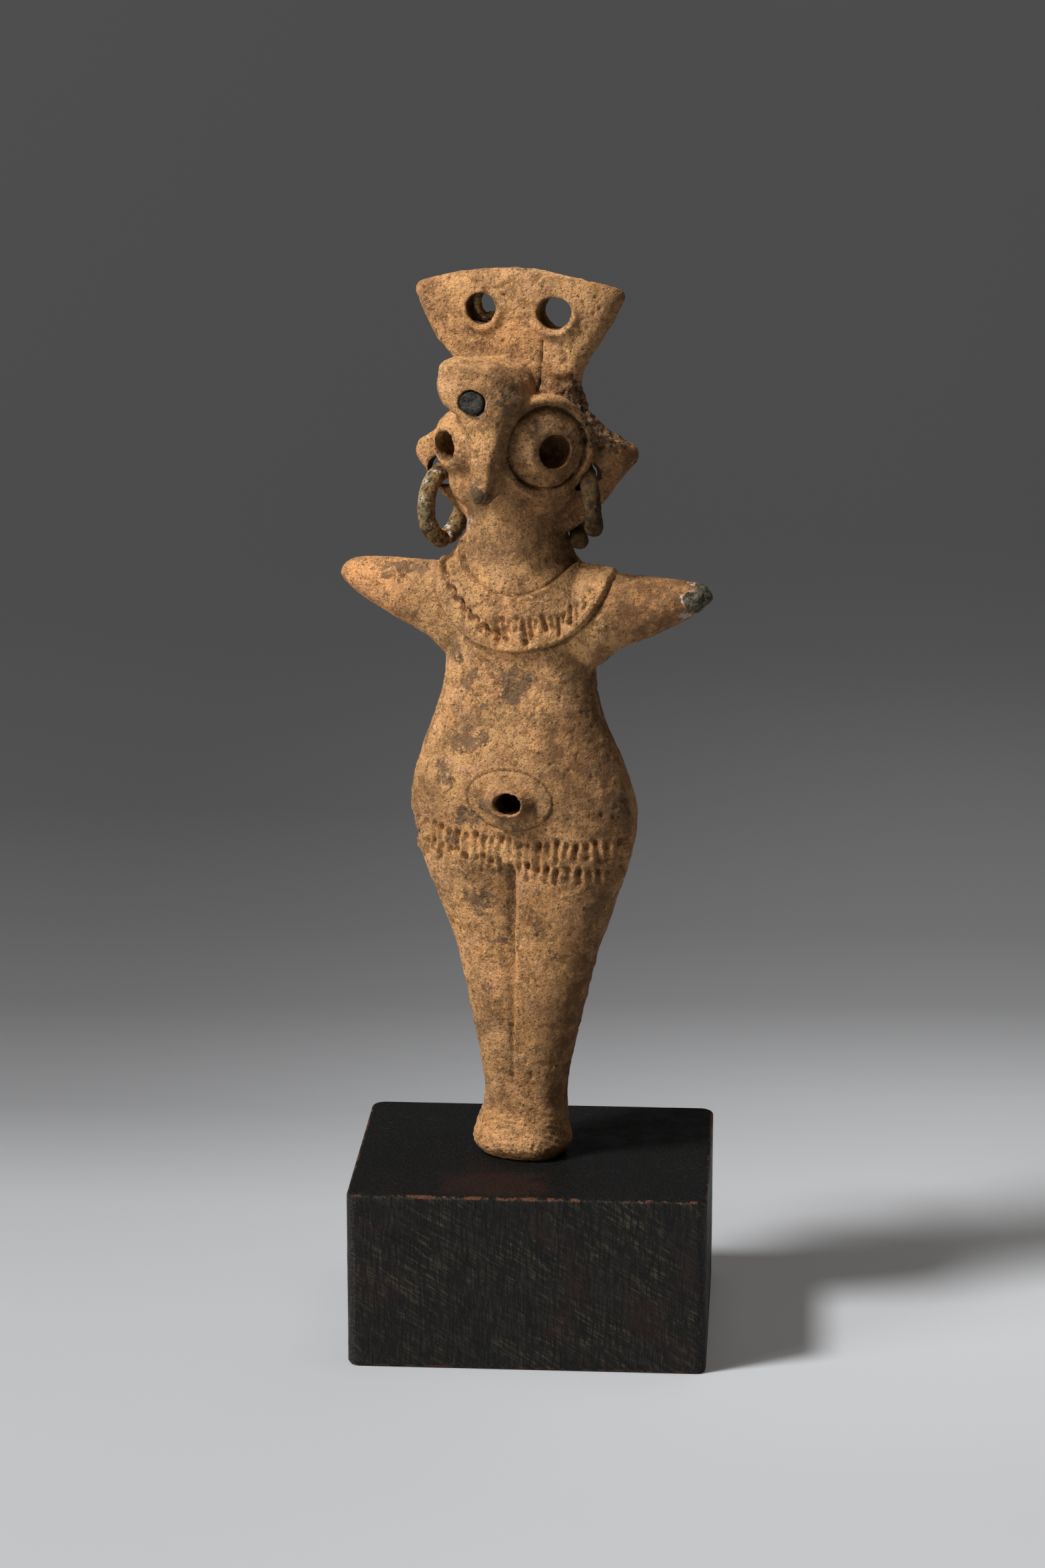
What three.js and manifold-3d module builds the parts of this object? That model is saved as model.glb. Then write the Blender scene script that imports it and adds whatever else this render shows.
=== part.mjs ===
// A bird-faced votive idol of fired clay, with its earrings and inlay, standing on a wood block.
// Millimetres, +Z up. The origin is the middle of the block's underside and the block's front is -Y.
// The clay figure is one solid: body, arms, head and every strip and pellet of clay laid on it.
import * as THREE from "three";
import { mergeVertices } from "three/addons/utils/BufferGeometryUtils.js";
import Module from "manifold-3d";

const wasm = await Module();
wasm.setup();

// Sizes of the block, in millimetres
const BLOCK_WIDTH = 57;
const BLOCK_DEPTH = 45;
const BLOCK_HEIGHT = 29;
const BLOCK_CORNER_RADIUS = 1.8;
const BLOCK_EDGE_ROUND = 0.5;

// The figure: its height, where its foot stands on the block, and its turn away from square
const FIGURE_HEIGHT = 143;
const FOOT_OFFSET_X = -1.8;
const FOOT_OFFSET_Y = 0.5;
const FIGURE_TURN = THREE.MathUtils.degToRad(-16);

// Loose and inset pieces, in millimetres
const EARRING_RADIUS = 5.5;
const EARRING_WIRE_RADIUS = 1.5;
const EARRING_LEFT_END_GAP = THREE.MathUtils.degToRad(14);
const EARRING_RIGHT_END_GAP = THREE.MathUtils.degToRad(34);
const EARRING_LEFT_END_OFFSET = 1;
const EARRING_RIGHT_END_OFFSET = 1.9;
const HEADDRESS_HOLE_RADIUS = 2.6;
const REMNANT_WIRE_RADIUS = 0.65;
const INLAY_RADIUS = 1.95;
const INLAY_PROUD = 0.1;
const INLAY_DEPTH = 1.6;
const CLEARANCE = 0.3;

// The clay plate that makes the headdress and the ears
const PLATE_THICKNESS = 4.6;
const PLATE_EDGE_ROUND = 1.4;

// Everything else on the figure is a share of its height. One unit is a thousandth of that height.
const UNIT = FIGURE_HEIGHT / 1000;
const FIGURE_TOLERANCE = 0.04;
const at = (x, y, z) => new THREE.Vector3(x * UNIT, y * UNIT, z * UNIT);

// Rows of the body, from the sole to the top of the neck: height, then how far the clay reaches
// from the axis to the left, to the right, to the front and to the back.
const BODY_ROWS = [
  [0, 50, 50, 46, 34],
  [13, 61, 60, 57, 41],
  [33, 57, 56, 51, 39],
  [54, 47, 51, 40, 36],
  [77, 45, 50, 37, 36],
  [126, 52, 58, 40, 40],
  [189, 64, 73, 44, 45],
  [252, 82, 90, 49, 52],
  [301, 102, 107, 55, 61],
  [350, 120, 123, 59, 67],
  [399, 130, 130, 61, 66],
  [430, 126, 124, 63, 60],
  [469, 115, 110, 59, 50],
  [510, 99, 91, 50, 43],
  [556, 89, 81, 45, 40],
  [601, 92, 86, 48, 43],
  [643, 91, 88, 48, 45],
  [671, 86, 72, 46, 45],
  [692, 69, 58, 47, 46],
  [720, 63, 53, 49, 45],
  [755, 62, 58, 52, 40],
];
const BODY_RINGS = 29;
const BODY_SIDES = 22;
const BODY_SQUARENESS = 2.3;

// Rows of an arm, from inside the chest to the stub's tip: distance from the axis, then the top
// edge, the lower edge and half the thickness.
const ARM_ROWS = [
  [45, 684, 560, 40],
  [87, 676, 570, 38],
  [112, 673, 590, 34],
  [140, 673, 603, 31],
  [168, 672, 617, 27],
  [192, 670, 631, 22],
  [207, 665, 642, 15],
  [214, 656, 650, 6],
];
const ARM_RINGS = 10;
const ARM_SIDES = 14;

// Outline of the plate, as distances from the axis and heights: neck, ear, waist and headdress
const PLATE_NECK_REACH = 55;
const PLATE_NECK_HEIGHT = 715;
const EAR_ROOT_REACH = 92;
const EAR_ROOT_DROP = 48;
const EAR_ROUND = 12;
const LEFT_EAR = { height: 794, reach: 122 };
const RIGHT_EAR = { height: 799, reach: 117 };
const WAIST_HEIGHT = 884;
const LEFT_WAIST = 70;
const RIGHT_WAIST = 65;
const LEFT_CORNER = 128;
const RIGHT_CORNER = 110;
const CORNER_HEIGHT = 983;
const CROWN_PULL = 1018;
const PLATE_MIDDLE_HEIGHT = 872;
// How far the plate lies back at its edges. The left wing bends evenly and the right one sharply.
const LEFT_BOW = 8;
const RIGHT_BOW = 30;
const BOW_REACH = 117;
const PLATE_FORWARD = 4;

// The head's eggs of clay: the middle of each, then half its width, depth and height.
const HEAD_EGGS = [
  { middle: [-7, -8, 806], half: [66, 56, 84] },
  { middle: [34, -24, 776], half: [34, 34, 38] },
  { middle: [-42, -26, 776], half: [34, 34, 38] },
];

// Ear holes: place, radius and how far the drill leaned sideways; then where each hoop hangs.
const EARS = [
  {
    place: [-92, 0, 775],
    radius: 17,
    slant: 0,
    top: [-92, 0, 775],
    turn: THREE.MathUtils.degToRad(-12),
    start: 0,
    gap: EARRING_LEFT_END_GAP,
    offset: EARRING_LEFT_END_OFFSET,
  },
  {
    place: [74, 2, 782],
    radius: 17.5,
    slant: THREE.MathUtils.degToRad(-35),
    top: [73, 0, 785],
    turn: THREE.MathUtils.degToRad(29),
    start: THREE.MathUtils.degToRad(-32),
    gap: EARRING_RIGHT_END_GAP,
    offset: EARRING_RIGHT_END_OFFSET,
  },
];

// Eyes: the middle of each, how far it looks out to its side, its outline turned round that
// line of sight as distance from it and height along it, and where the drill went in.
const EYE_SIDES = 18;
const EYES = [
  {
    middle: [-59, -48, 814],
    splay: THREE.MathUtils.degToRad(-30),
    outline: [
      [0, -44],
      [30, -44],
      [38, -22],
      [37, 0],
      [31, 8],
      [22, 16],
      [0, 16],
    ],
    hole: { shift: -5, rise: -2, radius: 16.5 },
  },
  {
    middle: [42, -48, 816],
    splay: THREE.MathUtils.degToRad(39),
    outline: [
      [0, -44],
      [44, -44],
      [56, -14],
      [56, 2],
      [49, 7],
      [45, 4],
      [43.5, -2],
      [41.5, 3],
      [30, 9],
      [20, 15],
      [0, 15],
    ],
    hole: { shift: 7, rise: -3, radius: 18 },
  },
];
const EYE_HOLE_FLOOR = -20;

const NAVEL_CENTRE = 5;
const NAVEL_HEIGHT = 424;
const NAVEL_DEPTH = -61;
const NAVEL_FLATTENING = 0.68;
const NAVEL_SIDES = 18;
const NAVEL_HOLE_SHIFT = 4;
const NAVEL_HOLE_RADIUS = 15.5;
const NAVEL_HOLE_FLATTENING = 0.8;
const NAVEL_HOLE_FLOOR = -16;
const NAVEL_OUTLINE = [
  [0, -25],
  [51, -25],
  [51, 0],
  [46, 2],
  [32, 3],
  [27, 9],
  [21, 22],
  [0, 22],
];

// Nose and brow, in level slices from the beak's tip to the crown: height, middle, half width, how
// far forward and how far back it reaches, how square it is, and how it widens to the back.
const FACE_ROWS = [
  [756, -14, 5, -98, -88, 2, 0],
  [761, -14, 8, -105, -74, 2.4, 0.3],
  [770, -14, 11, -107, -52, 2.8, 0.8],
  [784, -13, 14, -104, -34, 3, 1.1],
  [800, -12, 17, -101, -20, 3, 1.2],
  [826, -11, 23, -99, -10, 3, 1],
  [848, -14, 31, -98, -10, 3, 0.6],
  [862, -20, 44, -99, -10, 3.2, 0.15],
  [880, -23, 50, -99, -10, 3.2, 0],
  [896, -25, 48, -94, -10, 3, 0],
  [904, -26, 43, -84, -10, 2.5, 0],
  [909, -26, 32, -60, -12, 2.2, 0],
];
const FACE_RINGS = 16;
const FACE_SIDES = 18;
// The crown's slices sink to the right: by this share of the distance from here.
const CROWN_SINK = 0.6;
const CROWN_SINK_START = -6;
const CROWN_SINK_FROM = 860;
const CROWN_SINK_FULL = 900;

const INLAY_PLACE = -24;
const INLAY_HEIGHT = 868;

const HEADDRESS_HOLES = [
  [-43, 957],
  [40, 955],
];
const HEADDRESS_LIP = 5;
const HEADDRESS_LINE = { place: [26, 899], width: 4, depth: 4, length: 54 };

// The collar laid on the chest, its radial strokes and the two rows of strokes round the hips
const COLLAR_THICKNESS = 6;
const COLLAR_CENTRE = 12;
const COLLAR_TOP = 698;
const COLLAR_FRONT_DROP = 106;
const COLLAR_BACK_DROP = 62;
const COLLAR_LEFT_REACH = 110;
const COLLAR_RIGHT_REACH = 92;
const COLLAR_INNER_LEFT = 74;
const COLLAR_INNER_RIGHT = 60;
const COLLAR_INNER_DROP = 46;
// The collar's marks: short pricks at the left, then longer strokes. First and last direction
// round the collar in degrees, how many, how far out as a share, and length.
const COLLAR_MARKS = [
  { from: -168, to: -124, count: 7, share: 0.86, length: 9 },
  { from: -113, to: -38, count: 11, share: 0.82, length: 20 },
];
// Rows of strokes round the hips: place across and height, and how long the strokes are.
const HIP_ROWS = [
  {
    line: [
      [-121, 384],
      [10, 370],
      [124, 373],
    ],
    length: 20,
  },
  {
    line: [
      [-121, 361],
      [10, 344],
      [124, 340],
    ],
    length: 16,
  },
];
const HIP_STROKES = 14;
const HIP_STROKE_REACH = 112;
const STROKE_WIDTH = 6;
const STROKE_DEPTH = 5;

const LEG_LINE_TOP = 334;
const LEG_LINE_FOOT = 66;
const LEG_LINE_LEFT = 10;
const LEG_LINE_RIGHT = 3;

// Smooth value between the rows of a table at a given place: a cubic through the columns, with
// slopes taken from the rows on each side.
function between(rows, place, column) {
  const last = rows.length - 2;
  let i = rows.findIndex((row, k) => k > 0 && place <= row[0]) - 1;
  if (i < 0) i = place <= rows[0][0] ? 0 : last;
  const slope = (k) => {
    const a = rows[Math.max(k - 1, 0)];
    const b = rows[Math.min(k + 1, rows.length - 1)];
    return (b[column] - a[column]) / (b[0] - a[0]);
  };
  const span = rows[i + 1][0] - rows[i][0];
  const t = THREE.MathUtils.clamp((place - rows[i][0]) / span, 0, 1);
  const [t2, t3] = [t * t, t * t * t];
  return (
    rows[i][column] * (2 * t3 - 3 * t2 + 1) +
    rows[i + 1][column] * (3 * t2 - 2 * t3) +
    slope(i) * span * (t3 - 2 * t2 + t) +
    slope(i + 1) * span * (t3 - t2)
  );
}

// Places along a table of rows, closer together near both ends where the form turns fastest.
function places(rows, count) {
  const [low, high] = [rows[0][0], rows[rows.length - 1][0]];
  return Array.from({ length: count }, (_, k) => {
    const t = k / (count - 1);
    const eased = 0.5 - 0.5 * Math.cos(Math.PI * t);
    return low + (high - low) * (0.75 * t + 0.25 * eased);
  });
}

// Signed power that turns a circle's cosine or sine into that of a squarer rounded outline.
const squared = (value, power) => Math.sign(value) * Math.abs(value) ** (2 / power);

// A closed skin through rings of points, with both ends capped from the middle of their ring.
function loft(rings) {
  const sides = rings[0].length;
  const points = rings.flat();
  const faces = [];
  for (let r = 0; r + 1 < rings.length; r++)
    for (let s = 0; s < sides; s++) {
      const [a, b] = [r * sides + s, r * sides + ((s + 1) % sides)];
      faces.push(a, b, b + sides, a, b + sides, a + sides);
    }
  const cap = (ring, start, flip) => {
    const middle = ring.reduce((sum, p) => sum.add(p), new THREE.Vector3());
    const centre = points.push(middle.divideScalar(sides)) - 1;
    for (let s = 0; s < sides; s++) {
      const [a, b] = [start + s, start + ((s + 1) % sides)];
      faces.push(centre, flip ? b : a, flip ? a : b);
    }
  };
  cap(rings[0], 0, true);
  cap(rings[rings.length - 1], (rings.length - 1) * sides, false);
  const geometry = new THREE.BufferGeometry().setFromPoints(points);
  return geometry.setIndex(faces);
}

// A three.js geometry as a solid that can be joined and cut. Triangles that have shrunk to a line,
// as they do where a turned outline meets its axis, are left out.
function solid(geometry) {
  const plain = new THREE.BufferGeometry();
  plain.setAttribute("position", geometry.getAttribute("position"));
  plain.setIndex(geometry.index);
  const merged = mergeVertices(geometry.index ? plain : mergeVertices(plain), 1e-3);
  const corners = [];
  for (let i = 0; i < merged.index.count; i += 3) {
    const [a, b, c] = [0, 1, 2].map((k) => merged.index.getX(i + k));
    if (a !== b && b !== c && c !== a) corners.push(a, b, c);
  }
  const made = (triangles) =>
    new wasm.Manifold(
      new wasm.Mesh({
        numProp: 3,
        vertProperties: new Float32Array(merged.getAttribute("position").array),
        triVerts: new Uint32Array(triangles),
      }),
    );
  const first = made(corners);
  return first.volume() > 0 ? first : made(corners.slice().reverse());
}

// A solid back as a three.js geometry.
function geometryOf(made) {
  const mesh = made.getMesh();
  const geometry = new THREE.BufferGeometry();
  geometry.setAttribute("position", new THREE.BufferAttribute(mesh.vertProperties, 3));
  geometry.setIndex(new THREE.BufferAttribute(mesh.triVerts, 1));
  return geometry;
}

const join = (solids) => solids.reduce((a, b) => a.add(b));

// Where the body's skin is at a height and an angle, with the angle measured from the right side
// towards the back. Extra is how far outside the skin the point lies.
function bodyPoint(height, angle, extra = 0) {
  const [c, s] = [Math.cos(angle), Math.sin(angle)];
  const side = between(BODY_ROWS, height, c < 0 ? 1 : 2) + extra;
  const depth = between(BODY_ROWS, height, s < 0 ? 3 : 4) + extra;
  return at(squared(c, BODY_SQUARENESS) * side, squared(s, BODY_SQUARENESS) * depth, height);
}

function ringOf(sides, pointAt) {
  return Array.from({ length: sides }, (_, k) => pointAt((2 * Math.PI * k) / sides));
}

// Legs, hips, torso and neck: level rings of the body's skin.
function bodySolid(extra = 0) {
  const rings = places(BODY_ROWS, BODY_RINGS).map((height) =>
    ringOf(BODY_SIDES, (angle) => bodyPoint(height, angle, extra)),
  );
  return solid(loft(rings));
}

// One stub arm: upright ellipses along a line out of the chest. Side is -1 for the left arm.
function armSolid(side, extra = 0) {
  const rings = places(ARM_ROWS, ARM_RINGS).map((reach) => {
    const [top, low] = [between(ARM_ROWS, reach, 1), between(ARM_ROWS, reach, 2)];
    const thick = between(ARM_ROWS, reach, 3) + extra;
    const tall = (top - low) / 2 + extra;
    return ringOf(ARM_SIDES, (angle) =>
      at(side * reach, thick * Math.cos(angle), (top + low) / 2 + tall * Math.sin(angle)),
    );
  });
  return solid(loft(rings));
}

// Outline of the plate behind the head, from the neck round one side to the headdress's corner.
function plateSide(shape, side, ear, waist, corner) {
  const to = (x, z) => [side * x * UNIT, z * UNIT];
  const [under, over] = [ear.height - EAR_ROUND, ear.height + EAR_ROUND];
  const root = ear.height - EAR_ROOT_DROP;
  const shoulder = (PLATE_NECK_HEIGHT + root) / 2;
  shape.quadraticCurveTo(
    ...to((PLATE_NECK_REACH + EAR_ROOT_REACH) / 2, shoulder),
    ...to(EAR_ROOT_REACH, root),
  );
  shape.lineTo(...to(ear.reach, under));
  shape.quadraticCurveTo(...to(ear.reach + 0.8 * EAR_ROUND, ear.height), ...to(ear.reach, over));
  shape.quadraticCurveTo(...to(waist, over + 3 * EAR_ROUND), ...to(waist, WAIST_HEIGHT));
  const foot = WAIST_HEIGHT + 3 * EAR_ROUND;
  shape.quadraticCurveTo(...to(waist, WAIST_HEIGHT + EAR_ROUND), ...to(corner - 26, foot));
  shape.lineTo(...to(corner - 3, CORNER_HEIGHT - EAR_ROUND));
  shape.quadraticCurveTo(...to(corner, CORNER_HEIGHT), ...to(corner - 10, CORNER_HEIGHT));
}

// The whole outline as a list of points, one way round from the right side of the neck.
function plateOutline() {
  const walk = (side, ear, waist, corner) => {
    const shape = new THREE.Shape();
    shape.moveTo(side * PLATE_NECK_REACH * UNIT, PLATE_NECK_HEIGHT * UNIT);
    plateSide(shape, side, ear, waist, corner);
    return shape.getPoints(4);
  };
  const right = walk(1, RIGHT_EAR, RIGHT_WAIST, RIGHT_CORNER);
  const left = walk(-1, LEFT_EAR, LEFT_WAIST, LEFT_CORNER).reverse();
  const crown = new THREE.QuadraticBezierCurve(
    right[right.length - 1],
    new THREE.Vector2(-4 * UNIT, CROWN_PULL * UNIT),
    left[0],
  );
  return [...right, ...crown.getPoints(7).slice(1, -1), ...left];
}

// How far back the middle of the plate lies, in millimetres, at a distance across.
function plateBow(x) {
  const share = Math.abs(x) / UNIT / BOW_REACH;
  return (x < 0 ? LEFT_BOW * share ** 2 : RIGHT_BOW * share ** 3) * UNIT - PLATE_FORWARD * UNIT;
}

// The plate with its edge rounded front and back: the outline drawn in along its own normals, then
// shrunk towards the middle so that both faces follow the bow.
function plateSolid() {
  const outline = plateOutline();
  const middle = new THREE.Vector2(0, PLATE_MIDDLE_HEIGHT * UNIT);
  const inward = outline.map((_, k) => {
    const run = new THREE.Vector2().subVectors(outline[(k + 1) % outline.length], outline.at(k - 1));
    return new THREE.Vector2(-run.y, run.x).normalize();
  });
  const flat = PLATE_THICKNESS / 2 - PLATE_EDGE_ROUND;
  const ringAt = (face, degrees, share) => {
    const lean = THREE.MathUtils.degToRad(degrees);
    const drawnIn = PLATE_EDGE_ROUND * (1 - Math.cos(lean));
    return outline.map((p, k) => {
      const q = p.clone().addScaledVector(inward[k], drawnIn).sub(middle);
      q.multiplyScalar(share).add(middle);
      const y = face * (flat + PLATE_EDGE_ROUND * Math.sin(lean)) + plateBow(q.x);
      return new THREE.Vector3(q.x, y, q.y);
    });
  };
  const half = [
    [90, 0.02],
    [90, 0.6],
    [90, 1],
    [45, 1],
    [0, 1],
  ];
  const front = half.map(([degrees, share]) => ringAt(-1, degrees, share));
  const back = half.map(([degrees, share]) => ringAt(1, degrees, share)).reverse();
  return solid(loft([...front, ...back]));
}

// A round form turned from an outline of radius and height, standing along +Z.
function turned(outline, sides) {
  const profile = outline.map(([r, h]) => new THREE.Vector2(r * UNIT, h * UNIT));
  return new THREE.LatheGeometry(profile, sides).rotateX(Math.PI / 2);
}

// Turn a round form that stands along +Z to face out of the head, at the place of one eye.
function faceOut(geometry, { middle, splay }, shift = 0, rise = 0) {
  geometry.rotateX(Math.PI / 2).translate(shift * UNIT, 0, rise * UNIT).rotateZ(splay);
  const place = at(...middle);
  return solid(geometry.translate(place.x, place.y, place.z));
}

// Eye: a domed disc, with a rimmed socket round the right one.
const eyeSolid = (eye) => faceOut(turned(eye.outline, EYE_SIDES), eye);

// A plug of the clay that a drill took away, from a floor to well outside the skin.
const plug = (radius, floor) => [
  [0, floor],
  [radius, floor],
  [radius, 60],
  [0, 60],
];

function eyeHole(eye) {
  const { shift, rise, radius } = eye.hole;
  return faceOut(turned(plug(radius, EYE_HOLE_FLOOR), EYE_SIDES), eye, shift, rise);
}

function onNavel(geometry, flattening, shift = 0) {
  geometry.rotateX(Math.PI / 2).scale(1, 1, flattening);
  const place = at(NAVEL_CENTRE + shift, NAVEL_DEPTH, NAVEL_HEIGHT);
  return solid(geometry.translate(place.x, place.y, place.z));
}

const navelSolid = () => onNavel(turned(NAVEL_OUTLINE, NAVEL_SIDES), NAVEL_FLATTENING);

const navelHole = () =>
  onNavel(
    turned(plug(NAVEL_HOLE_RADIUS, NAVEL_HOLE_FLOOR), NAVEL_SIDES),
    NAVEL_HOLE_FLATTENING,
    NAVEL_HOLE_SHIFT,
  );

// Beak, nose ridge and brow: level slices whose back lies inside the head. The crown's slices sink
// with the distance to the right.
function faceSolid() {
  const rings = places(FACE_ROWS, FACE_RINGS).map((height) => {
    const row = [1, 2, 3, 4, 5, 6].map((k) => between(FACE_ROWS, height, k));
    const [shift, half, fore, aft, square, flare] = row;
    const sinking = THREE.MathUtils.smoothstep(height, CROWN_SINK_FROM, CROWN_SINK_FULL);
    return ringOf(FACE_SIDES, (angle) => {
      const share = 0.5 + 0.5 * squared(Math.sin(angle), square);
      const x = shift + half * squared(Math.cos(angle), square) * (1 + flare * share);
      const sink = CROWN_SINK * Math.max(x - CROWN_SINK_START, 0) * sinking;
      return at(x, fore + (aft - fore) * share, height - sink);
    });
  });
  return solid(loft(rings));
}

// The clay mass of the head between the neck, the plate and the eyes.
function headEgg({ middle, half }) {
  const geometry = new THREE.SphereGeometry(1, 14, 8);
  geometry.scale(...half.map((reach) => reach * UNIT));
  const place = at(...middle);
  return solid(geometry.translate(place.x, place.y, place.z));
}

// A straight drill through the plate at one place, leaning sideways by a slant.
function drill(place, radius, length, slant = 0) {
  const geometry = new THREE.CylinderGeometry(radius, radius, length, 18).rotateZ(slant);
  return solid(geometry.translate(place.x, place.y, place.z));
}

const headdressHoles = HEADDRESS_HOLES.map(([x, z]) => at(x, 0, z));

// A lip of clay pushed up under each headdress hole: a leaning ring whose top sinks in the plate.
function holeLip(place) {
  const geometry = new THREE.TorusGeometry(HEADDRESS_HOLE_RADIUS + 0.5, HEADDRESS_LIP * UNIT, 6, 16);
  geometry.rotateX(Math.PI / 2 - 0.32);
  return solid(geometry.translate(place.x, -PLATE_THICKNESS / 2 + plateBow(place.x) + 0.5, place.z));
}

// Rounded wire along a curve, with flat ends.
function wire(curve, radius, steps) {
  const section = new THREE.Shape().absarc(0, 0, radius, 0, 2 * Math.PI);
  return new THREE.ExtrudeGeometry(section, {
    steps,
    curveSegments: 5,
    bevelEnabled: false,
    extrudePath: curve,
  });
}

// An earring's centre line: an open hoop, hung with its gap at the bottom, whose two ends miss
// each other sideways. It passes through the middle of its ear hole.
class EarringCurve extends THREE.Curve {
  constructor(ear) {
    super();
    this.ear = ear;
  }
  getPoint(t, target = new THREE.Vector3()) {
    const { top, turn, start, gap, offset } = this.ear;
    const angle = start + (t - 0.5) * (2 * Math.PI - gap);
    const aside = offset * 4 * (t - 0.5) ** 3;
    const along = EARRING_RADIUS * Math.sin(angle);
    const up = EARRING_RADIUS * (Math.cos(angle) - 1);
    const [c, s] = [Math.cos(turn), Math.sin(turn)];
    return at(...top).add(target.set(along * s + aside * c, -along * c + aside * s, up));
  }
}

const earringGeometry = (ear, extra = 0) =>
  wire(new EarringCurve(ear), EARRING_WIRE_RADIUS + extra, 24);

// What is left of a ring in the left headdress hole: a bent stub, lodged from the top of the hole
// to its lower right side.
function remnantGeometry(extra = 0) {
  const { x, z } = headdressHoles[0];
  const r = HEADDRESS_HOLE_RADIUS;
  const curve = new THREE.CatmullRomCurve3([
    new THREE.Vector3(x - 0.18 * r, -0.3 * r, z + 1.06 * r),
    new THREE.Vector3(x - 0.46 * r, -0.25 * r, z + 0.45 * r),
    new THREE.Vector3(x - 0.42 * r, -0.1 * r, z - 0.2 * r),
    new THREE.Vector3(x - 0.1 * r, 0.15 * r, z - 0.62 * r),
    new THREE.Vector3(x + 0.4 * r, 0.4 * r, z - 0.52 * r),
    new THREE.Vector3(x + 0.98 * r, 0.6 * r, z - 0.4 * r),
  ]);
  return wire(curve, REMNANT_WIRE_RADIUS + extra, 14);
}

// A disc set in the front of the brow, from just proud of the clay back to a given depth.
function inlayDisc(radius, proud, deep) {
  const front = between(FACE_ROWS, INLAY_HEIGHT, 3) * UNIT;
  const geometry = new THREE.CylinderGeometry(radius, radius, proud + deep, 20);
  const middle = front + (deep - proud) / 2;
  return geometry.translate(INLAY_PLACE * UNIT, middle, INLAY_HEIGHT * UNIT);
}

const inlayGeometry = () => inlayDisc(INLAY_RADIUS, INLAY_PROUD, INLAY_DEPTH);

const inlayPocket = () => inlayDisc(INLAY_RADIUS + CLEARANCE, 2, INLAY_DEPTH + CLEARANCE);

// A place on an oval round the collar's centre, seen from the front. Left and right are how far the
// oval reaches to each side.
function collarPlace(turn, left, right, drop) {
  const [c, s] = [Math.cos(turn), Math.sin(turn)];
  return [COLLAR_CENTRE + (c < 0 ? left : right) * c, COLLAR_TOP + drop * s];
}

// Half of the collar's outline, seen from the front: between the neck line and the outer edge.
function collarPrism(drop, near, far) {
  const arc = (count, left, right, deep) =>
    Array.from({ length: count + 1 }, (_, k) => {
      const [x, z] = collarPlace(-Math.PI + (Math.PI * k) / count, left, right, deep);
      return new THREE.Vector2(x * UNIT, z * UNIT);
    });
  const outer = arc(18, COLLAR_LEFT_REACH, COLLAR_RIGHT_REACH, drop);
  const inner = arc(12, COLLAR_INNER_LEFT, COLLAR_INNER_RIGHT, COLLAR_INNER_DROP).reverse();
  const geometry = new THREE.ExtrudeGeometry(new THREE.Shape([...outer, ...inner]), {
    depth: far - near,
    bevelEnabled: false,
  });
  return solid(geometry.rotateX(Math.PI / 2).translate(0, far, 0));
}

// The collar: a strip of clay as thick as COLLAR_THICKNESS over the chest and shoulders.
function collarSolid() {
  const swollen = join([
    bodySolid(COLLAR_THICKNESS),
    armSolid(-1, COLLAR_THICKNESS),
    armSolid(1, COLLAR_THICKNESS),
  ]);
  const reach = 150 * UNIT;
  const front = swollen.intersect(collarPrism(COLLAR_FRONT_DROP, -reach, 0));
  const back = swollen.intersect(collarPrism(COLLAR_BACK_DROP, -0.01, reach));
  return front.add(back);
}

// A wedge that scores the clay: it lies on the skin at a place, points in along -normal and runs
// along a direction, for one stroke of a pointed stick.
function strokeSolid(place, normal, direction, length, width = STROKE_WIDTH, depth = STROKE_DEPTH) {
  const out = 3 * UNIT;
  const deep = depth * UNIT;
  const half = (width / 2) * UNIT;
  const section = new THREE.Shape([
    new THREE.Vector2(0, -deep),
    new THREE.Vector2(half * (1 + out / deep), out),
    new THREE.Vector2(-half * (1 + out / deep), out),
  ]);
  const geometry = new THREE.ExtrudeGeometry(section, {
    depth: length * UNIT,
    bevelEnabled: false,
  });
  geometry.translate(0, 0, (-length * UNIT) / 2);
  const across = new THREE.Vector3().crossVectors(normal, direction).normalize();
  const along = new THREE.Vector3().crossVectors(across, normal).normalize();
  geometry.applyMatrix4(new THREE.Matrix4().makeBasis(across, normal, along));
  return solid(geometry.translate(place.x, place.y, place.z));
}

// How far forward the clay of body and arms comes at a place across and a height, as a point
// that can also lie outside the skin by an extra thickness.
function frontPoint(across, height, extra = 0) {
  const side = between(BODY_ROWS, height, across < 0 ? 1 : 2) + extra;
  const share = Math.min(Math.abs(across) / side, 1) ** BODY_SQUARENESS;
  const body = (between(BODY_ROWS, height, 3) + extra) * (1 - share) ** (1 / BODY_SQUARENESS);
  const reach = Math.max(Math.abs(across), ARM_ROWS[0][0]);
  const [top, low] = [between(ARM_ROWS, reach, 1), between(ARM_ROWS, reach, 2)];
  const rise = (height - (top + low) / 2) / ((top - low) / 2 + extra);
  const within = Math.sqrt(Math.max(1 - rise * rise, 0));
  const arm = (between(ARM_ROWS, reach, 3) + extra) * within;
  return at(across, -Math.max(body, arm), height);
}

// The outward direction of that skin, from its slopes across and up.
function frontNormal(across, height, extra = 0) {
  const sideways = frontPoint(across + 1, height, extra).sub(frontPoint(across - 1, height, extra));
  const up = frontPoint(across, height + 1, extra).sub(frontPoint(across, height - 1, extra));
  return new THREE.Vector3().crossVectors(sideways, up).normalize();
}

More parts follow.
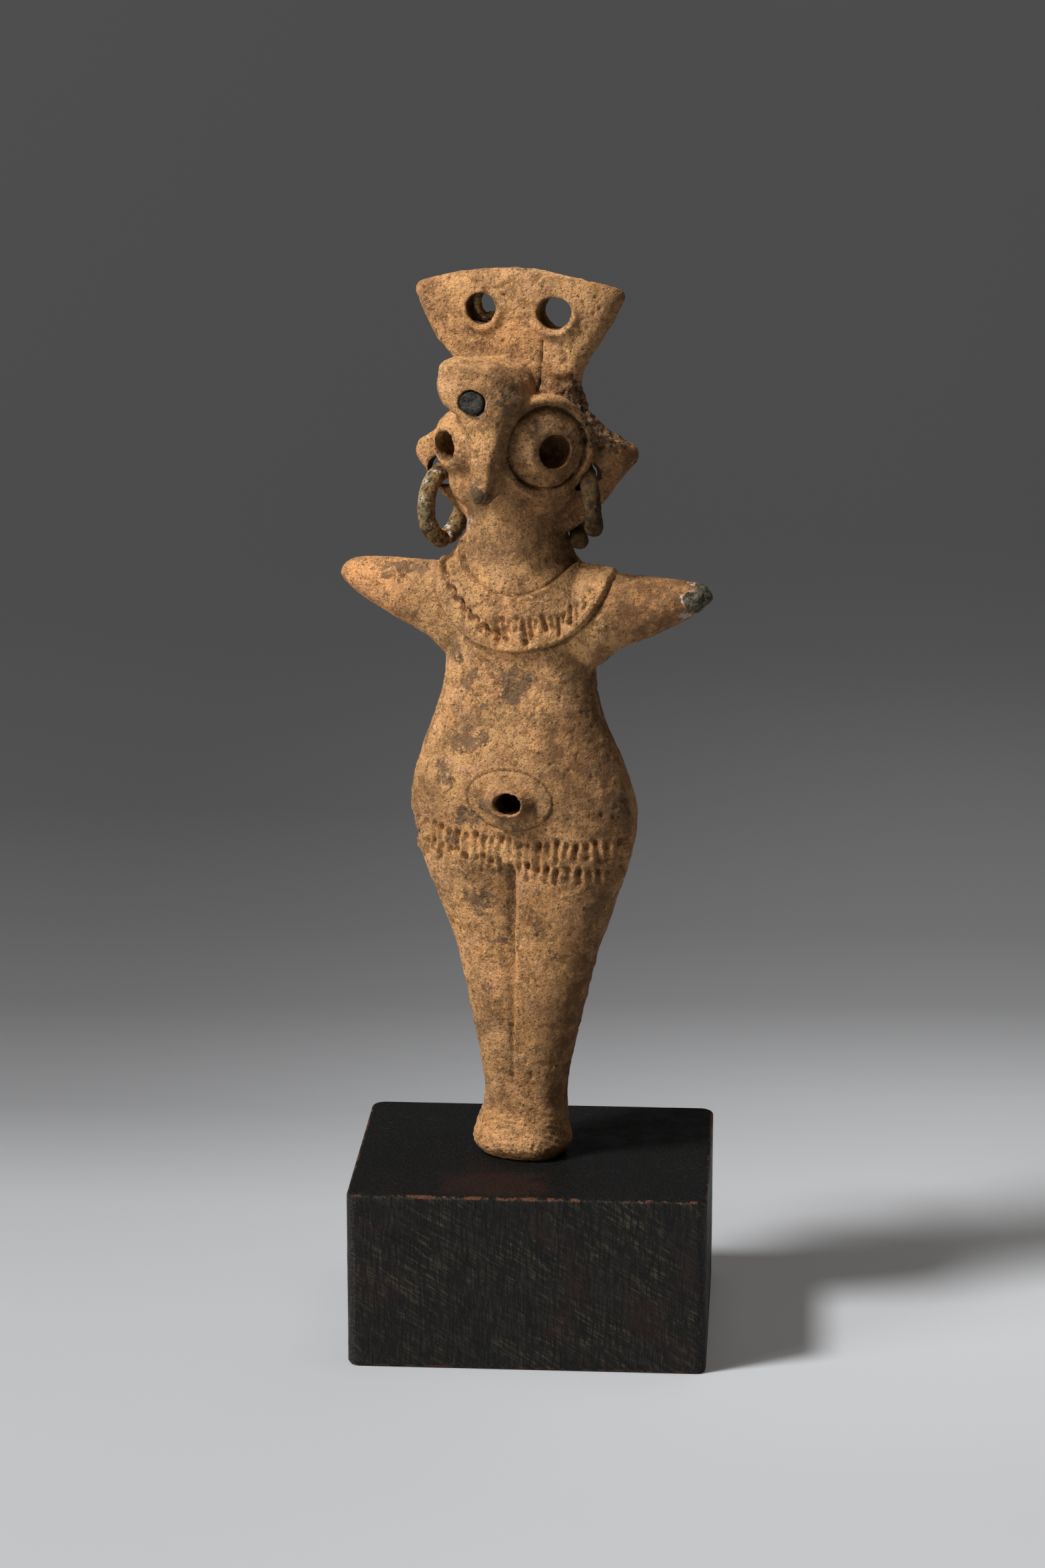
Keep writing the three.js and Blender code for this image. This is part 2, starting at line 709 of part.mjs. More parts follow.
// Pricks and strokes along the collar's lower edge.
function collarStrokes() {
  return COLLAR_MARKS.flatMap(({ from, to, count, share, length }) =>
    Array.from({ length: count }, (_, k) => {
      const turn = THREE.MathUtils.degToRad(from + ((to - from) * k) / (count - 1));
      const [x, height] = collarPlace(
        turn,
        share * COLLAR_LEFT_REACH,
        share * COLLAR_RIGHT_REACH,
        share * COLLAR_FRONT_DROP,
      );
      const place = frontPoint(x, height, COLLAR_THICKNESS);
      const normal = frontNormal(x, height, COLLAR_THICKNESS);
      const direction = new THREE.Vector3(Math.cos(turn) / 2, 0, Math.sin(turn));
      return strokeSolid(place, normal, direction, length);
    }),
  );
}

// Two rows of upright strokes round the front of the hips.
function hipStrokes() {
  return HIP_ROWS.flatMap(({ line, length }) =>
    Array.from({ length: HIP_STROKES }, (_, k) => {
      const x = HIP_STROKE_REACH * ((2 * k) / (HIP_STROKES - 1) - 1);
      const height = between(line, x, 1);
      const place = frontPoint(x, height);
      return strokeSolid(place, frontNormal(x, height), new THREE.Vector3(0, 0, 1), length);
    }),
  );
}

// The thin upright line under the headdress's right hole.
function headdressLine() {
  const { place, width, depth, length } = HEADDRESS_LINE;
  const [x, z] = place;
  const start = at(x, 0, z);
  start.y = plateBow(start.x) - PLATE_THICKNESS / 2;
  const [out, up] = [new THREE.Vector3(0, -1, 0), new THREE.Vector3(0, 0, 1)];
  return strokeSolid(start, out, up, length, width, depth);
}

// The line between the legs: a long wedge, deep under the hips and fading out at the ankles.
function legLine(side) {
  const depthAt = (height) => between(BODY_ROWS, height, side < 0 ? 3 : 4);
  const slice = (height, bite) => {
    const skin = depthAt(height);
    const middle = height / 60 - 1;
    return [
      at(middle, side * (skin - bite), height),
      at(middle + LEG_LINE_RIGHT, side * (skin + 3), height),
      at(middle - LEG_LINE_LEFT, side * (skin + 3), height),
    ];
  };
  const rings = Array.from({ length: 7 }, (_, k) => {
    const height = LEG_LINE_FOOT + ((LEG_LINE_TOP - LEG_LINE_FOOT) * k) / 6;
    return slice(height, 3 + 2.6 * k);
  });
  return solid(loft(rings));
}

// Each hoop and bent stub sits in clay cut to its own shape and the clearance.
function figureSolid() {
  const built = join([
    bodySolid(),
    armSolid(-1),
    armSolid(1),
    ...HEAD_EGGS.map(headEgg),
    plateSolid(),
    ...EYES.map(eyeSolid),
    faceSolid(),
    collarSolid(),
    navelSolid(),
    ...headdressHoles.map(holeLip),
  ]);
  const drillLength = 3 * PLATE_THICKNESS;
  const taken = join([
    ...EYES.map(eyeHole),
    navelHole(),
    ...EARS.map(({ place, radius, slant }) =>
      drill(at(...place), radius * UNIT, 1.6 * PLATE_THICKNESS, slant),
    ),
    ...EARS.map((ear) => solid(earringGeometry(ear, CLEARANCE))),
    ...headdressHoles.map((place) => drill(place, HEADDRESS_HOLE_RADIUS, drillLength)),
    solid(remnantGeometry(CLEARANCE)),
    solid(inlayPocket()),
    ...collarStrokes(),
    ...hipStrokes(),
    headdressLine(),
    legLine(-1),
    legLine(1),
  ]);
  return built.subtract(taken).simplify(FIGURE_TOLERANCE);
}

function blockGeometry() {
  const [w, d] = [BLOCK_WIDTH / 2, BLOCK_DEPTH / 2];
  const r = BLOCK_CORNER_RADIUS;
  const shape = new THREE.Shape();
  shape.moveTo(-w + r, -d);
  shape.lineTo(w - r, -d).absarc(w - r, -d + r, r, -Math.PI / 2, 0);
  shape.lineTo(w, d - r).absarc(w - r, d - r, r, 0, Math.PI / 2);
  shape.lineTo(-w + r, d).absarc(-w + r, d - r, r, Math.PI / 2, Math.PI);
  shape.lineTo(-w, -d + r).absarc(-w + r, -d + r, r, Math.PI, 1.5 * Math.PI);
  const geometry = new THREE.ExtrudeGeometry(shape, {
    depth: BLOCK_HEIGHT - 2 * BLOCK_EDGE_ROUND,
    curveSegments: 4,
    bevelThickness: BLOCK_EDGE_ROUND,
    bevelSize: BLOCK_EDGE_ROUND,
    bevelOffset: -BLOCK_EDGE_ROUND,
    bevelSegments: 2,
  });
  return geometry.translate(0, 0, BLOCK_EDGE_ROUND);
}

const clay = new THREE.MeshStandardMaterial({ color: 0xb98a5e, roughness: 0.92, metalness: 0 });
const bronze = new THREE.MeshStandardMaterial({ color: 0x6b5c3a, roughness: 0.75, metalness: 0.2 });
const inlay = new THREE.MeshStandardMaterial({ color: 0x3c4240, roughness: 0.3, metalness: 0 });
const wood = new THREE.MeshStandardMaterial({ color: 0x1c1917, roughness: 0.55, metalness: 0 });

function part(name, geometry, material) {
  const mesh = new THREE.Mesh(geometry, material);
  mesh.name = name;
  return mesh;
}

const figure = new THREE.Group();
figure.add(
  part("clay_figure", geometryOf(figureSolid()), clay),
  part("left_earring", geometryOf(solid(earringGeometry(EARS[0]))), bronze),
  part("right_earring", geometryOf(solid(earringGeometry(EARS[1]))), bronze),
  part("headdress_ring_stub", geometryOf(solid(remnantGeometry())), bronze),
  part("forehead_inlay", geometryOf(solid(inlayGeometry())), inlay),
);
figure.position.set(FOOT_OFFSET_X, FOOT_OFFSET_Y, BLOCK_HEIGHT);
figure.rotation.z = FIGURE_TURN;

const idol = new THREE.Group();
idol.add(part("wood_block", blockGeometry(), wood), figure);

export default idol;
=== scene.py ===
# %% [markdown]
# # A beaked idol of fired clay on a black wood block
#
# The real object is a hand-modelled clay figure about a hand's width tall. It has a pinched beak,
# applied disc eyes, a pierced fan headdress, hoop earrings of corroded bronze, stub arms, a collar,
# a navel pellet and a girdle of pricked dots. It stands on a block of black-stained wood.
#
# Every size below is in thousandths of the figure's height, measured in the figure's own frame:
# x to the viewer's right, -y out of its chest, z up from its sole. Working in one small unit keeps
# nearly all the numbers whole, and a single function turns them into metres on the block.

import bmesh
import bpy
import numpy as np
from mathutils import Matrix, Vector


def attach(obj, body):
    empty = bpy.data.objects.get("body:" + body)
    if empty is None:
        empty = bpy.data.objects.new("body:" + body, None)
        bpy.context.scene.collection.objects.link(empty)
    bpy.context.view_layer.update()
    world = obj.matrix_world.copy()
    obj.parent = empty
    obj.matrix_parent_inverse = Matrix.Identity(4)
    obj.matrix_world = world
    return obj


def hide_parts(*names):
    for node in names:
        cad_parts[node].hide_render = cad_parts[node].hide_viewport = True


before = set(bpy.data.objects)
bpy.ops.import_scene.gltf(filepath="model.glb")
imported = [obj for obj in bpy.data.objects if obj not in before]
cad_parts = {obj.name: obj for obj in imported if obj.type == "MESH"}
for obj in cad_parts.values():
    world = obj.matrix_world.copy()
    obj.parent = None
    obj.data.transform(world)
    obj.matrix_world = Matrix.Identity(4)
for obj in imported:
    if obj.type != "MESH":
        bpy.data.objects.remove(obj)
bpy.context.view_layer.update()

# %% The figure's own frame
FIGURE_HEIGHT = 0.143
UNIT = FIGURE_HEIGHT / 1000
TURN = np.radians(-16.0)
FOOT = np.array([-0.0018, 0.0005, 0.029])


def stand(points):
    """Figure units to metres on the block: turn about the upright axis, scale, then lift to the
    place of the foot."""
    p = np.asarray(points, float) * UNIT
    c, s = np.cos(TURN), np.sin(TURN)
    turned = np.stack([p[..., 0] * c - p[..., 1] * s, p[..., 0] * s + p[..., 1] * c, p[..., 2]], -1)
    return turned + FOOT


foot_at = stand([0, 0, 0])
print("the sole's middle is at", np.round(foot_at * 1000, 2), "mm")

# %% [markdown]
# ## The camera
#
# The photograph was taken with a long lens, a little above the figure. A camera was fitted to the
# block's corners: it looks down by 15 degrees from 68 cm away.

# %% Camera
AZIMUTH, ELEVATION = np.radians(3.65), np.radians(15.0)
CAMERA_DISTANCE, AIM_HEIGHT, AIM_ASIDE = 0.678, 0.09027, -0.00198
FILM_HEIGHT_MM, LENS_MM = 36.0, 98.4
back = np.array(
    [np.sin(AZIMUTH) * np.cos(ELEVATION), -np.cos(AZIMUTH) * np.cos(ELEVATION), np.sin(ELEVATION)]
)
right = np.array([np.cos(AZIMUTH), np.sin(AZIMUTH), 0.0])
aim = right * AIM_ASIDE + np.array([0, 0, AIM_HEIGHT])
camera_at = aim + back * CAMERA_DISTANCE

camera_data = bpy.data.cameras.new("camera")
camera_data.sensor_width = FILM_HEIGHT_MM
camera_data.lens = LENS_MM
camera_data.clip_start = 0.05
camera_data.clip_end = 20.0
camera = bpy.data.objects.new("camera", camera_data)
bpy.context.scene.collection.objects.link(camera)
camera.location = camera_at
camera.rotation_euler = (np.pi / 2 - ELEVATION, 0.0, AZIMUTH)
bpy.context.scene.camera = camera
print("camera at", np.round(camera_at, 3), "m")

# %% [markdown]
# ## Small tools
#
# A few helpers serve every piece. Some read or shape a smooth value, such as a width from a table of
# rows. Others join a grid of points into a closed skin and make it a Blender object. The last make
# smooth noise in space, which stands for all the unevenness of hand-worked clay.

# %% Smooth values


def between(rows, place, column):
    """Cubic through one column of a table: at each row the slope is the rise between its two
    neighbours, and between rows the two ends' values and slopes are blended."""
    rows = np.asarray(rows, float)
    x, y = rows[:, 0], rows[:, column]
    before = np.maximum(np.arange(len(x)) - 1, 0)
    after = np.minimum(np.arange(len(x)) + 1, len(x) - 1)
    slope = (y[after] - y[before]) / (x[after] - x[before])
    i = np.clip(np.searchsorted(x, place) - 1, 0, len(x) - 2)
    span = x[i + 1] - x[i]
    t = np.clip((place - x[i]) / span, 0, 1)
    return (
        y[i] * (2 * t**3 - 3 * t**2 + 1)
        + y[i + 1] * (3 * t**2 - 2 * t**3)
        + slope[i] * span * (t**3 - 2 * t**2 + t)
        + slope[i + 1] * span * (t**3 - t**2)
    )


def ramp(value, low, high):
    """0 below low, 1 above high, and a smooth S between them."""
    t = np.clip((value - low) / (high - low), 0, 1)
    return t * t * (3 - 2 * t)


def squared(value, power):
    """Cosine or sine bent towards a squarer outline: the sign times the size to the 2 / power."""
    return np.sign(value) * np.abs(value) ** (2 / power)


def bell(gap, width):
    """1 where the gap is nothing, falling off to both sides as exp(-(gap / width)^2)."""
    return np.exp(-((gap / width) ** 2))


# %% A grid of points as a closed skin


def skin(grid):
    """Faces that join a grid of points [row, place round]: each row closes on itself, and the first
    and last rows are closed with a fan to their middle point."""
    rows, sides = grid.shape[:2]
    index = np.arange(rows * sides).reshape(rows, sides)
    beside = np.roll(index, -1, axis=1)
    walls = np.stack([index[:-1], beside[:-1], beside[1:], index[1:]], -1).reshape(-1, 4)
    points = np.concatenate([grid.reshape(-1, 3), grid[:1].mean(1), grid[-1:].mean(1)])
    low, high = rows * sides, rows * sides + 1
    bottom = np.stack([beside[0], index[0], np.full(sides, low)], -1)
    top = np.stack([index[-1], beside[-1], np.full(sides, high)], -1)
    return points, walls.tolist() + bottom.tolist() + top.tolist()


def make_object(name, points, faces):
    """A mesh object from points in metres and lists of corner numbers, with smooth shading."""
    mesh = bpy.data.meshes.new(name)
    mesh.from_pydata(np.asarray(points).tolist(), [], faces)
    mesh.update()
    mesh.polygons.foreach_set("use_smooth", np.ones(len(mesh.polygons), bool))
    made = bpy.data.objects.new(name, mesh)
    bpy.context.scene.collection.objects.link(made)
    return made


def outward(made):
    """Turn a closed mesh the right way out where its signed volume is negative."""
    b = bmesh.new()
    b.from_mesh(made.data)
    if b.calc_volume(signed=True) < 0:
        bmesh.ops.reverse_faces(b, faces=b.faces[:])
    b.to_mesh(made.data)
    b.free()


# %% Smooth noise in space


def noise(points, size, seed):
    """Value noise from -1 to 1: random values on a lattice of the given cell size, blended between
    the eight nearest with S-shaped weights."""
    table = np.random.default_rng(seed).uniform(-1, 1, 4096)
    q = np.asarray(points) / size + 100.0
    cell = np.floor(q).astype(np.int64)
    t = q - cell
    t = t * t * (3 - 2 * t)
    total = np.zeros(len(q))
    for corner in np.ndindex(2, 2, 2):
        c = cell + corner
        key = (c[:, 0] * 73856093 ^ c[:, 1] * 19349663 ^ c[:, 2] * 83492791) & 4095
        weight = np.prod(np.where(corner, t, 1 - t), axis=1)
        total += table[key] * weight
    return total


def rough(points, size, seed, octaves=3):
    """Noise summed over octaves, each half the size and half as strong as the one before."""
    parts = [noise(points, size / 2**k, seed + k) / 2**k for k in range(octaves)]
    return sum(parts) / sum(0.5**k for k in range(octaves))


sample = noise(np.random.default_rng(0).uniform(0, 99, (999, 3)), 7, 1)
print("noise runs from", np.round(sample.min(), 2), "to", np.round(sample.max(), 2))

# %% [markdown]
# ## The clay figure, mass by mass
#
# The maker pinched a roll of clay into legs, hips, neck and arms, flattened its top into a fan, and
# pressed on the brow, the eyes, the collar and the navel. The model goes the same way. Each mass is
# a closed skin of its own, worked out from a table of widths. The masses overlap as pressed-on clay
# does, and a voxel remesh then welds them into one skin.

# %% Body: level rings from the sole to the neck
BODY_ROWS = np.array(
    [
        # height, reach to the left, right, front and back
        [0, 46.5, 45.5, 40, 34],
        [13, 56.5, 55, 50, 41],
        [33, 53.5, 52, 46, 39],
        [54, 47, 51, 40, 36],
        [77, 45, 50, 37, 36],
        [126, 52, 58, 40, 40],
        [189, 64, 73, 44, 45],
        [252, 82, 90, 49, 52],
        [301, 102, 107, 55, 61],
        [350, 120, 123, 59, 67],
        [399, 130, 130, 61, 66],
        [430, 126, 124, 63, 60],
        [469, 115, 110, 59, 50],
        [510, 99, 91, 50, 43],
        [556, 89, 81, 45, 40],
        [601, 92, 86, 48, 43],
        [643, 91, 88, 48, 45],
        [671, 86, 72, 46, 45],
        [692, 69, 55, 47, 46],
        [720, 63, 48, 49, 45],
        [755, 62, 55, 52, 40],
    ],
    float,
)
BODY_SQUARENESS = 2.3


def body_grid():
    """Rounded-square rings: cosine and sine bent by the squareness, stretched to the reach of the
    quarter they fall in, at each height."""
    height = np.concatenate([[0, 2, 5], np.linspace(9, 755, 130)])[:, None]
    angle = np.linspace(0, 2 * np.pi, 96, endpoint=False)[None]
    c = squared(np.cos(angle), BODY_SQUARENESS)
    s = squared(np.sin(angle), BODY_SQUARENESS)
    side = np.where(c < 0, between(BODY_ROWS, height, 1), between(BODY_ROWS, height, 2))
    deep = np.where(s < 0, between(BODY_ROWS, height, 3), between(BODY_ROWS, height, 4))
    return np.stack([c * side, s * deep, height + 0 * angle], -1)


masses = [skin(body_grid())]
print("body rings reach", np.round(np.ptp(body_grid()[..., 0]) * UNIT * 1000, 1), "mm across")

# %% Arms: upright ellipses along a line out of the chest
ARM_ROWS = np.array(
    [
        # distance from the axis, top edge, lower edge, half the thickness
        [45, 684, 560, 40],
        [87, 676, 570, 38],
        [112, 673, 590, 34],
        [140, 673, 603, 31],
        [168, 672, 617, 27],
        [192, 670, 631, 22],
        [207, 665, 642, 15],
        [214, 656, 650, 6],
    ],
    float,
)


def arm_grid(side):
    """Ellipses whose height and thickness come from the table, one at each distance out."""
    reach = np.concatenate([np.linspace(45, 200, 50), np.linspace(202, 214, 12)])[:, None]
    angle = np.linspace(0, 2 * np.pi, 56, endpoint=False)[None]
    top, low = between(ARM_ROWS, reach, 1), between(ARM_ROWS, reach, 2)
    thick = between(ARM_ROWS, reach, 3)
    return np.stack(
        [
            side * (reach + 0 * angle),
            thick * np.cos(angle),
            (top + low) / 2 + (top - low) / 2 * np.sin(angle),
        ],
        -1,
    )


masses += [skin(arm_grid(-1)), skin(arm_grid(1))]

# %% [markdown]
# The headdress and ears are one flattened sheet of clay behind the head. Its outline is a few bent
# strokes on each side. The sheet is thickest in the middle, thin and rounded at the rim, and bows
# back a little to both sides, so its right part falls into shade in the photograph.

# %% Headdress and ears: one sheet with a rounded rim
PLATE_HALF = 16.0


def bend(start, middle, end, count=14):
    """Points on a quadratic curve from start to end that leans towards middle."""
    t = np.linspace(0, 1, count, endpoint=False)[:, None]
    a, b, c = (np.array(p, float) for p in (start, middle, end))
    return (1 - t) ** 2 * a + 2 * t * (1 - t) * b + t**2 * c


def plate_side(ear, reach, waist, corner):
    """One half of the outline as x, z pairs: neck, ear tip, waist, headdress corner."""
    return np.concatenate(
        [
            bend((55, 715), (74, 730), (92, ear - 48)),
            bend((92, ear - 48), (reach - 14, ear - 30), (reach, ear - 13)),
            bend((reach, ear - 13), (reach + 10, ear), (reach, ear + 12)),
            bend((reach, ear + 12), (waist, ear + 46), (waist, 884)),
            bend((waist, 884), (waist + 1, 896), (corner - 26, 922)),
            bend((corner - 26, 922), (corner - 10, 948), (corner - 3, 968)),
            bend((corner - 3, 968), (corner + 1, 977), (corner - 10, 983)),
        ]
    )


def plate_outline():
    """Right half upwards, the crown's shallow arc, then the left half downwards."""
    one, other = plate_side(799, 117, 65, 110), plate_side(794, 122, 70, 128)[::-1] * [-1, 1]
    crown = bend((100, 983), (-4, 1018), (-118, 983), 26)
    return np.concatenate([one, crown, other])


def plate_bow(x):
    """How far the sheet lies back at a place across: the square of the distance from the middle,
    mild on the left; on the right the cube, so that the far wing turns well away."""
    return np.where(x < 0, 8 * (x / 120.0) ** 2, 30 * np.abs(x / 115.0) ** 3) - 4


def plate_grid():
    """The outline shrunk towards its middle, front and back: thickness falls to nothing at the rim
    like the side of a rounded square."""
    outline = plate_outline()
    middle = np.array([-2.0, 872.0])
    lean = np.linspace(-np.pi / 2 + 0.02, np.pi / 2 - 0.02, 64)[:, None]
    share = np.cos(lean) ** 0.5
    half = PLATE_HALF * (1 - share**9) ** (1 / 2.2)
    flat = middle + share[..., None] * (outline - middle)[None]
    y = np.sign(lean) * half + plate_bow(flat[..., 0])
    return np.stack([flat[..., 0], y, flat[..., 1]], -1)


masses.append(skin(plate_grid()))
print("plate outline of", len(plate_outline()), "points")

# %% Head, brow and beak
FACE_ROWS = np.array(
    [
        # height, middle, half width, how far forward, how far back, squareness, flare to the back
        [756, -14, 5, -98, -88, 2.0, 0.0],
        [761, -14, 8, -105, -74, 2.4, 0.3],
        [770, -14, 11, -107, -52, 2.8, 0.8],
        [784, -13, 14, -104, -34, 3.0, 1.1],
        [800, -12, 17, -101, -20, 3.0, 1.2],
        [826, -11, 23, -99, -10, 3.0, 1.0],
        [848, -14, 31, -98, -10, 3.0, 0.6],
        [862, -20, 44, -99, -10, 3.2, 0.15],
        [880, -23, 50, -99, -10, 3.2, 0.0],
        [896, -25, 48, -94, -10, 3.0, 0.0],
        [904, -26, 46, -89, -10, 3.4, 0.0],
        [909, -26, 37, -70, -12, 2.8, 0.0],
    ],
    float,
)
FACE_CENTRE = -7.0


def face_grid():
    """Level slices from the beak's tip to the crown, each a rounded square between its front and
    back that widens towards the back by its flare; on the right the crown's slices sink with the
    distance across."""
    height = np.linspace(756, 909, 100)[:, None]
    angle = np.linspace(0, 2 * np.pi, 88, endpoint=False)[None]
    middle, half, fore, aft, square, flare = (between(FACE_ROWS, height, k) for k in range(1, 7))
    share = 0.5 + 0.5 * squared(np.sin(angle), square)
    across = middle + half * squared(np.cos(angle), square) * (1 + flare * share)
    sink = 0.6 * np.clip(across + 6, 0, None) * ramp(height, 860, 900)
    return np.stack([across, fore + (aft - fore) * share, height - sink], -1)


def egg_grid(centre, halves, count=48):
    """An egg: a sphere's rings stretched by three half-lengths."""
    up = np.linspace(-np.pi / 2 + 0.05, np.pi / 2 - 0.05, count)[:, None]
    angle = np.linspace(0, 2 * np.pi, 2 * count, endpoint=False)[None]
    ball = np.stack([np.cos(up) * np.cos(angle), np.cos(up) * np.sin(angle), np.sin(up) + 0 * angle], -1)
    return np.array(centre) + np.array(halves) * ball


masses += [
    skin(face_grid()),
    skin(egg_grid((FACE_CENTRE, -8, 806), (66, 56, 84))),
    skin(egg_grid((34, -24, 776), (34, 34, 38))),
    skin(egg_grid((-42, -26, 776), (34, 34, 38))),
]

# %% [markdown]
# Each eye is a disc pressed into a rimmed socket and drilled with a stick. On the model it is a
# turned form: a profile of radius and height, spun round an axis that looks out past the beak.

# %% Eyes
EYE_MIDDLES = {-1: np.array([-59.0, -48.0, 814.0]), 1: np.array([42.0, -48.0, 816.0])}
EYE_ROWS = {
    -1: [
        (0, -44), (30, -44), (37, -24), (38, -8), (36, 2), (31, 8), (26, 13), (22, 16), (17, 16), (0, 16),
    ],
    1: [
        (0, -44), (44, -44), (53, -24), (57, -8), (57, 1), (54, 6), (49, 7), (45, 4),
        (40, 4), (30, 9), (22, 14), (16, 15), (0, 15),
    ],
}


def level_axes(degrees):
    """The level direction so many degrees to the right of straight ahead, and the one across it."""
    turn = np.radians(degrees)
    return np.array([np.sin(turn), -np.cos(turn), 0.0]), np.array([np.cos(turn), np.sin(turn), 0.0])


EYE_AXES = {-1: level_axes(-30.0), 1: level_axes(39.0)}


def spin(profile, middle, look, across, sides=72, flatten=1.0):
    """A profile of (radius, height) spun round an axis; flatten squeezes it upright."""
    profile = np.array(profile, float)
    up = np.array([0, 0, 1.0])
    angle = np.linspace(0, 2 * np.pi, sides, endpoint=False)[None, :, None]
    radius, height = profile[:, 0][:, None, None], profile[:, 1][:, None, None]
    radius = np.maximum(radius, 0.5)
    return middle + height * look + radius * (np.cos(angle) * across + flatten * np.sin(angle) * up)


masses += [skin(spin(EYE_ROWS[side], EYE_MIDDLES[side], *EYE_AXES[side])) for side in (-1, 1)]

# %% Navel: a pressed-on disc with a drilled cone
NAVEL_MIDDLE = np.array([5.0, -61.0, 424.0])
NAVEL_ROWS = [(0, -25), (52, -25), (52, -8), (50, 0), (32, 3), (27, 9), (21, 20), (16, 22), (0, 22)]
NAVEL_FLATNESS = 0.68
AHEAD = level_axes(0.0)
masses.append(skin(spin(NAVEL_ROWS, NAVEL_MIDDLE, *AHEAD, flatten=NAVEL_FLATNESS)))
print(len(masses), "masses of clay")

# %% [markdown]
# ## Weld, drill and smooth
#
# A voxel remesh turns the overlapping masses into one even skin, as the maker's thumb did. The
# holes come next, each cut with a plain closed pin. A second remesh evens out the cut edges, and a
# few rounds of smoothing soften every join. All of this happens in millimetres, because remesh and
# boolean tools lose precision on shapes measured in thousandths of a metre.

# %% Weld the masses
MM = UNIT * 1000
VOXEL = 0.27


def merged(skins):
    """Several skins as one list of points and faces, in millimetres."""
    points, faces, start = [], [], 0
    for p, f in skins:
        points.append(p * MM)
        faces += [[c + start for c in face] for face in f]
        start += len(p)
    return np.concatenate(points), faces


def bake(made):
    """Apply an object's modifiers by taking its finished mesh."""
    evaluated = made.evaluated_get(bpy.context.evaluated_depsgraph_get())
    finished = bpy.data.meshes.new_from_object(evaluated)
    old = made.data
    made.modifiers.clear()
    made.data = finished
    bpy.data.meshes.remove(old)
    return made


def remeshed(made, voxel):
    """The same solid with an even skin of small squares."""
    weld = made.modifiers.new("weld", "REMESH")
    weld.mode = "VOXEL"
    weld.voxel_size = voxel
    return bake(made)


clay = make_object("clay", *merged(masses))
remeshed(clay, VOXEL)
print("welded skin:", len(clay.data.vertices), "points")

# %% Drill the holes
HEADDRESS_HOLES = {-1: np.array([-43.0, 0, 957]), 1: np.array([40.0, 0, 955])}
INLAY_AT = np.array([-24.0, -100.0, 868])


def in_eye(side, shift, rise):
    """A place in an eye's disc: so far across from its middle and so far up."""
    return EYE_MIDDLES[side] + shift * EYE_AXES[side][1] + [0, 0, rise]


def straight(radius, start, end):
    """A pin's profile as (radius, height) at its two ends."""
    return [(radius, start), (radius, end)]


# The right ear's hole widens a little just inside its mouth.
EAR_PIN = [(15.5, -44), (15.5, 2), (17.5, 8), (17.5, 14), (15.5, 18), (15.5, 26)]
HOLES = [
    # middle, axes, the pin's profile and flatness; then the painted shade on its walls: from, to, how much
    (in_eye(-1, -5.0, -2.0), EYE_AXES[-1], straight(16.5, -22, 60), 1.0, (-24, 8, 0.8)),
    (in_eye(1, 7.0, -3.0), EYE_AXES[1], straight(18.0, -22, 60), 1.0, (-24, 8, 0.8)),
    (NAVEL_MIDDLE + [4, 0, 0], AHEAD, straight(15.5, -20, 60), 0.8, (-22, 14, 1.7)),
    (np.array([-92.0, 0, 775]), AHEAD, straight(17, -60, 60), 1.0, (-30, 8, 1.5)),
    (np.array([71.0, 2, 783]), level_axes(-36.0), EAR_PIN, 1.0, (-34, 17, 2.0)),
    (HEADDRESS_HOLES[-1], AHEAD, straight(17, -60, 60), 1.0, (-30, 14, 1.2)),
    (HEADDRESS_HOLES[1], AHEAD, straight(19, -60, 60), 0.92, (-30, 12, 1.0)),
    (INLAY_AT, AHEAD, straight(15.5, -12, 20), 0.9, (-12, 20, 0.0)),
]
drills = [skin(spin(pin, middle, *axes, 40, flatness)) for middle, axes, pin, flatness, hole_shade in HOLES]
cutter = make_object("drills", *merged(drills))
outward(cutter)
cut = clay.modifiers.new("drill", "BOOLEAN")
cut.operation = "DIFFERENCE"
cut.object = cutter
cut.solver = "EXACT"
bake(clay)
bpy.data.objects.remove(cutter)
remeshed(clay, VOXEL)
print("drilled skin:", len(clay.data.vertices), "points")

# %% Smooth the joins
soften = clay.modifiers.new("soften", "SMOOTH")
soften.factor = 0.5
soften.iterations = 10
bake(clay)


def skin_points(made):
    """The mesh's points as an array."""
    flat = np.empty(len(made.data.vertices) * 3)
    made.data.vertices.foreach_get("co", flat)
    return flat.reshape(-1, 3)


def skin_normals(made):
    """The mesh's outward directions, one for each point."""
    flat = np.empty(len(made.data.vertices) * 3, np.float32)
    made.data.vertex_normals.foreach_get("vector", flat)
    return flat.reshape(-1, 3).astype(float)


# %% [markdown]
# ## Tooling marks
#
# The carving is shallow: strokes, pricks and grooves from a tenth of a millimetre to a little over
# one millimetre deep. Each one is a small function of place that pushes the skin in or out along its
# own direction. The collar and the hand-worked unevenness are made the same way, because they follow
# the surface under them.

# %% Where the marks go
at = skin_points(clay) / MM
facing = skin_normals(clay)
x, y, z = at.T
front = ramp(-facing[:, 1], 0.05, 0.4)
rear = ramp(facing[:, 1], 0.05, 0.4)
# Painted shade: how dark each point is painted in grooves, pricks and holes.
push = np.zeros(len(at))
crease_shade = np.zeros(len(at))


def stroke(a, b, width, depth, side=front, shade=1.0):
    """A groove along the line from a to b, seen from the front: deepest on the line, and fading as
    a bell curve of the distance from it. Shade is how dark it is painted: painted shade in the groove."""
    p = np.stack([x, z], -1)
    a, b = np.array(a, float), np.array(b, float)
    run = b - a
    t = np.clip(((p - a) @ run) / max(run @ run, 1e-9), 0, 1)
    gap = np.linalg.norm(p - a - t[:, None] * run, axis=1)
    bite = depth * bell(gap, width) * side
    push[:] -= bite
    crease_shade[:] = np.maximum(crease_shade, shade * np.clip(bite / 3.0, 0, 1))


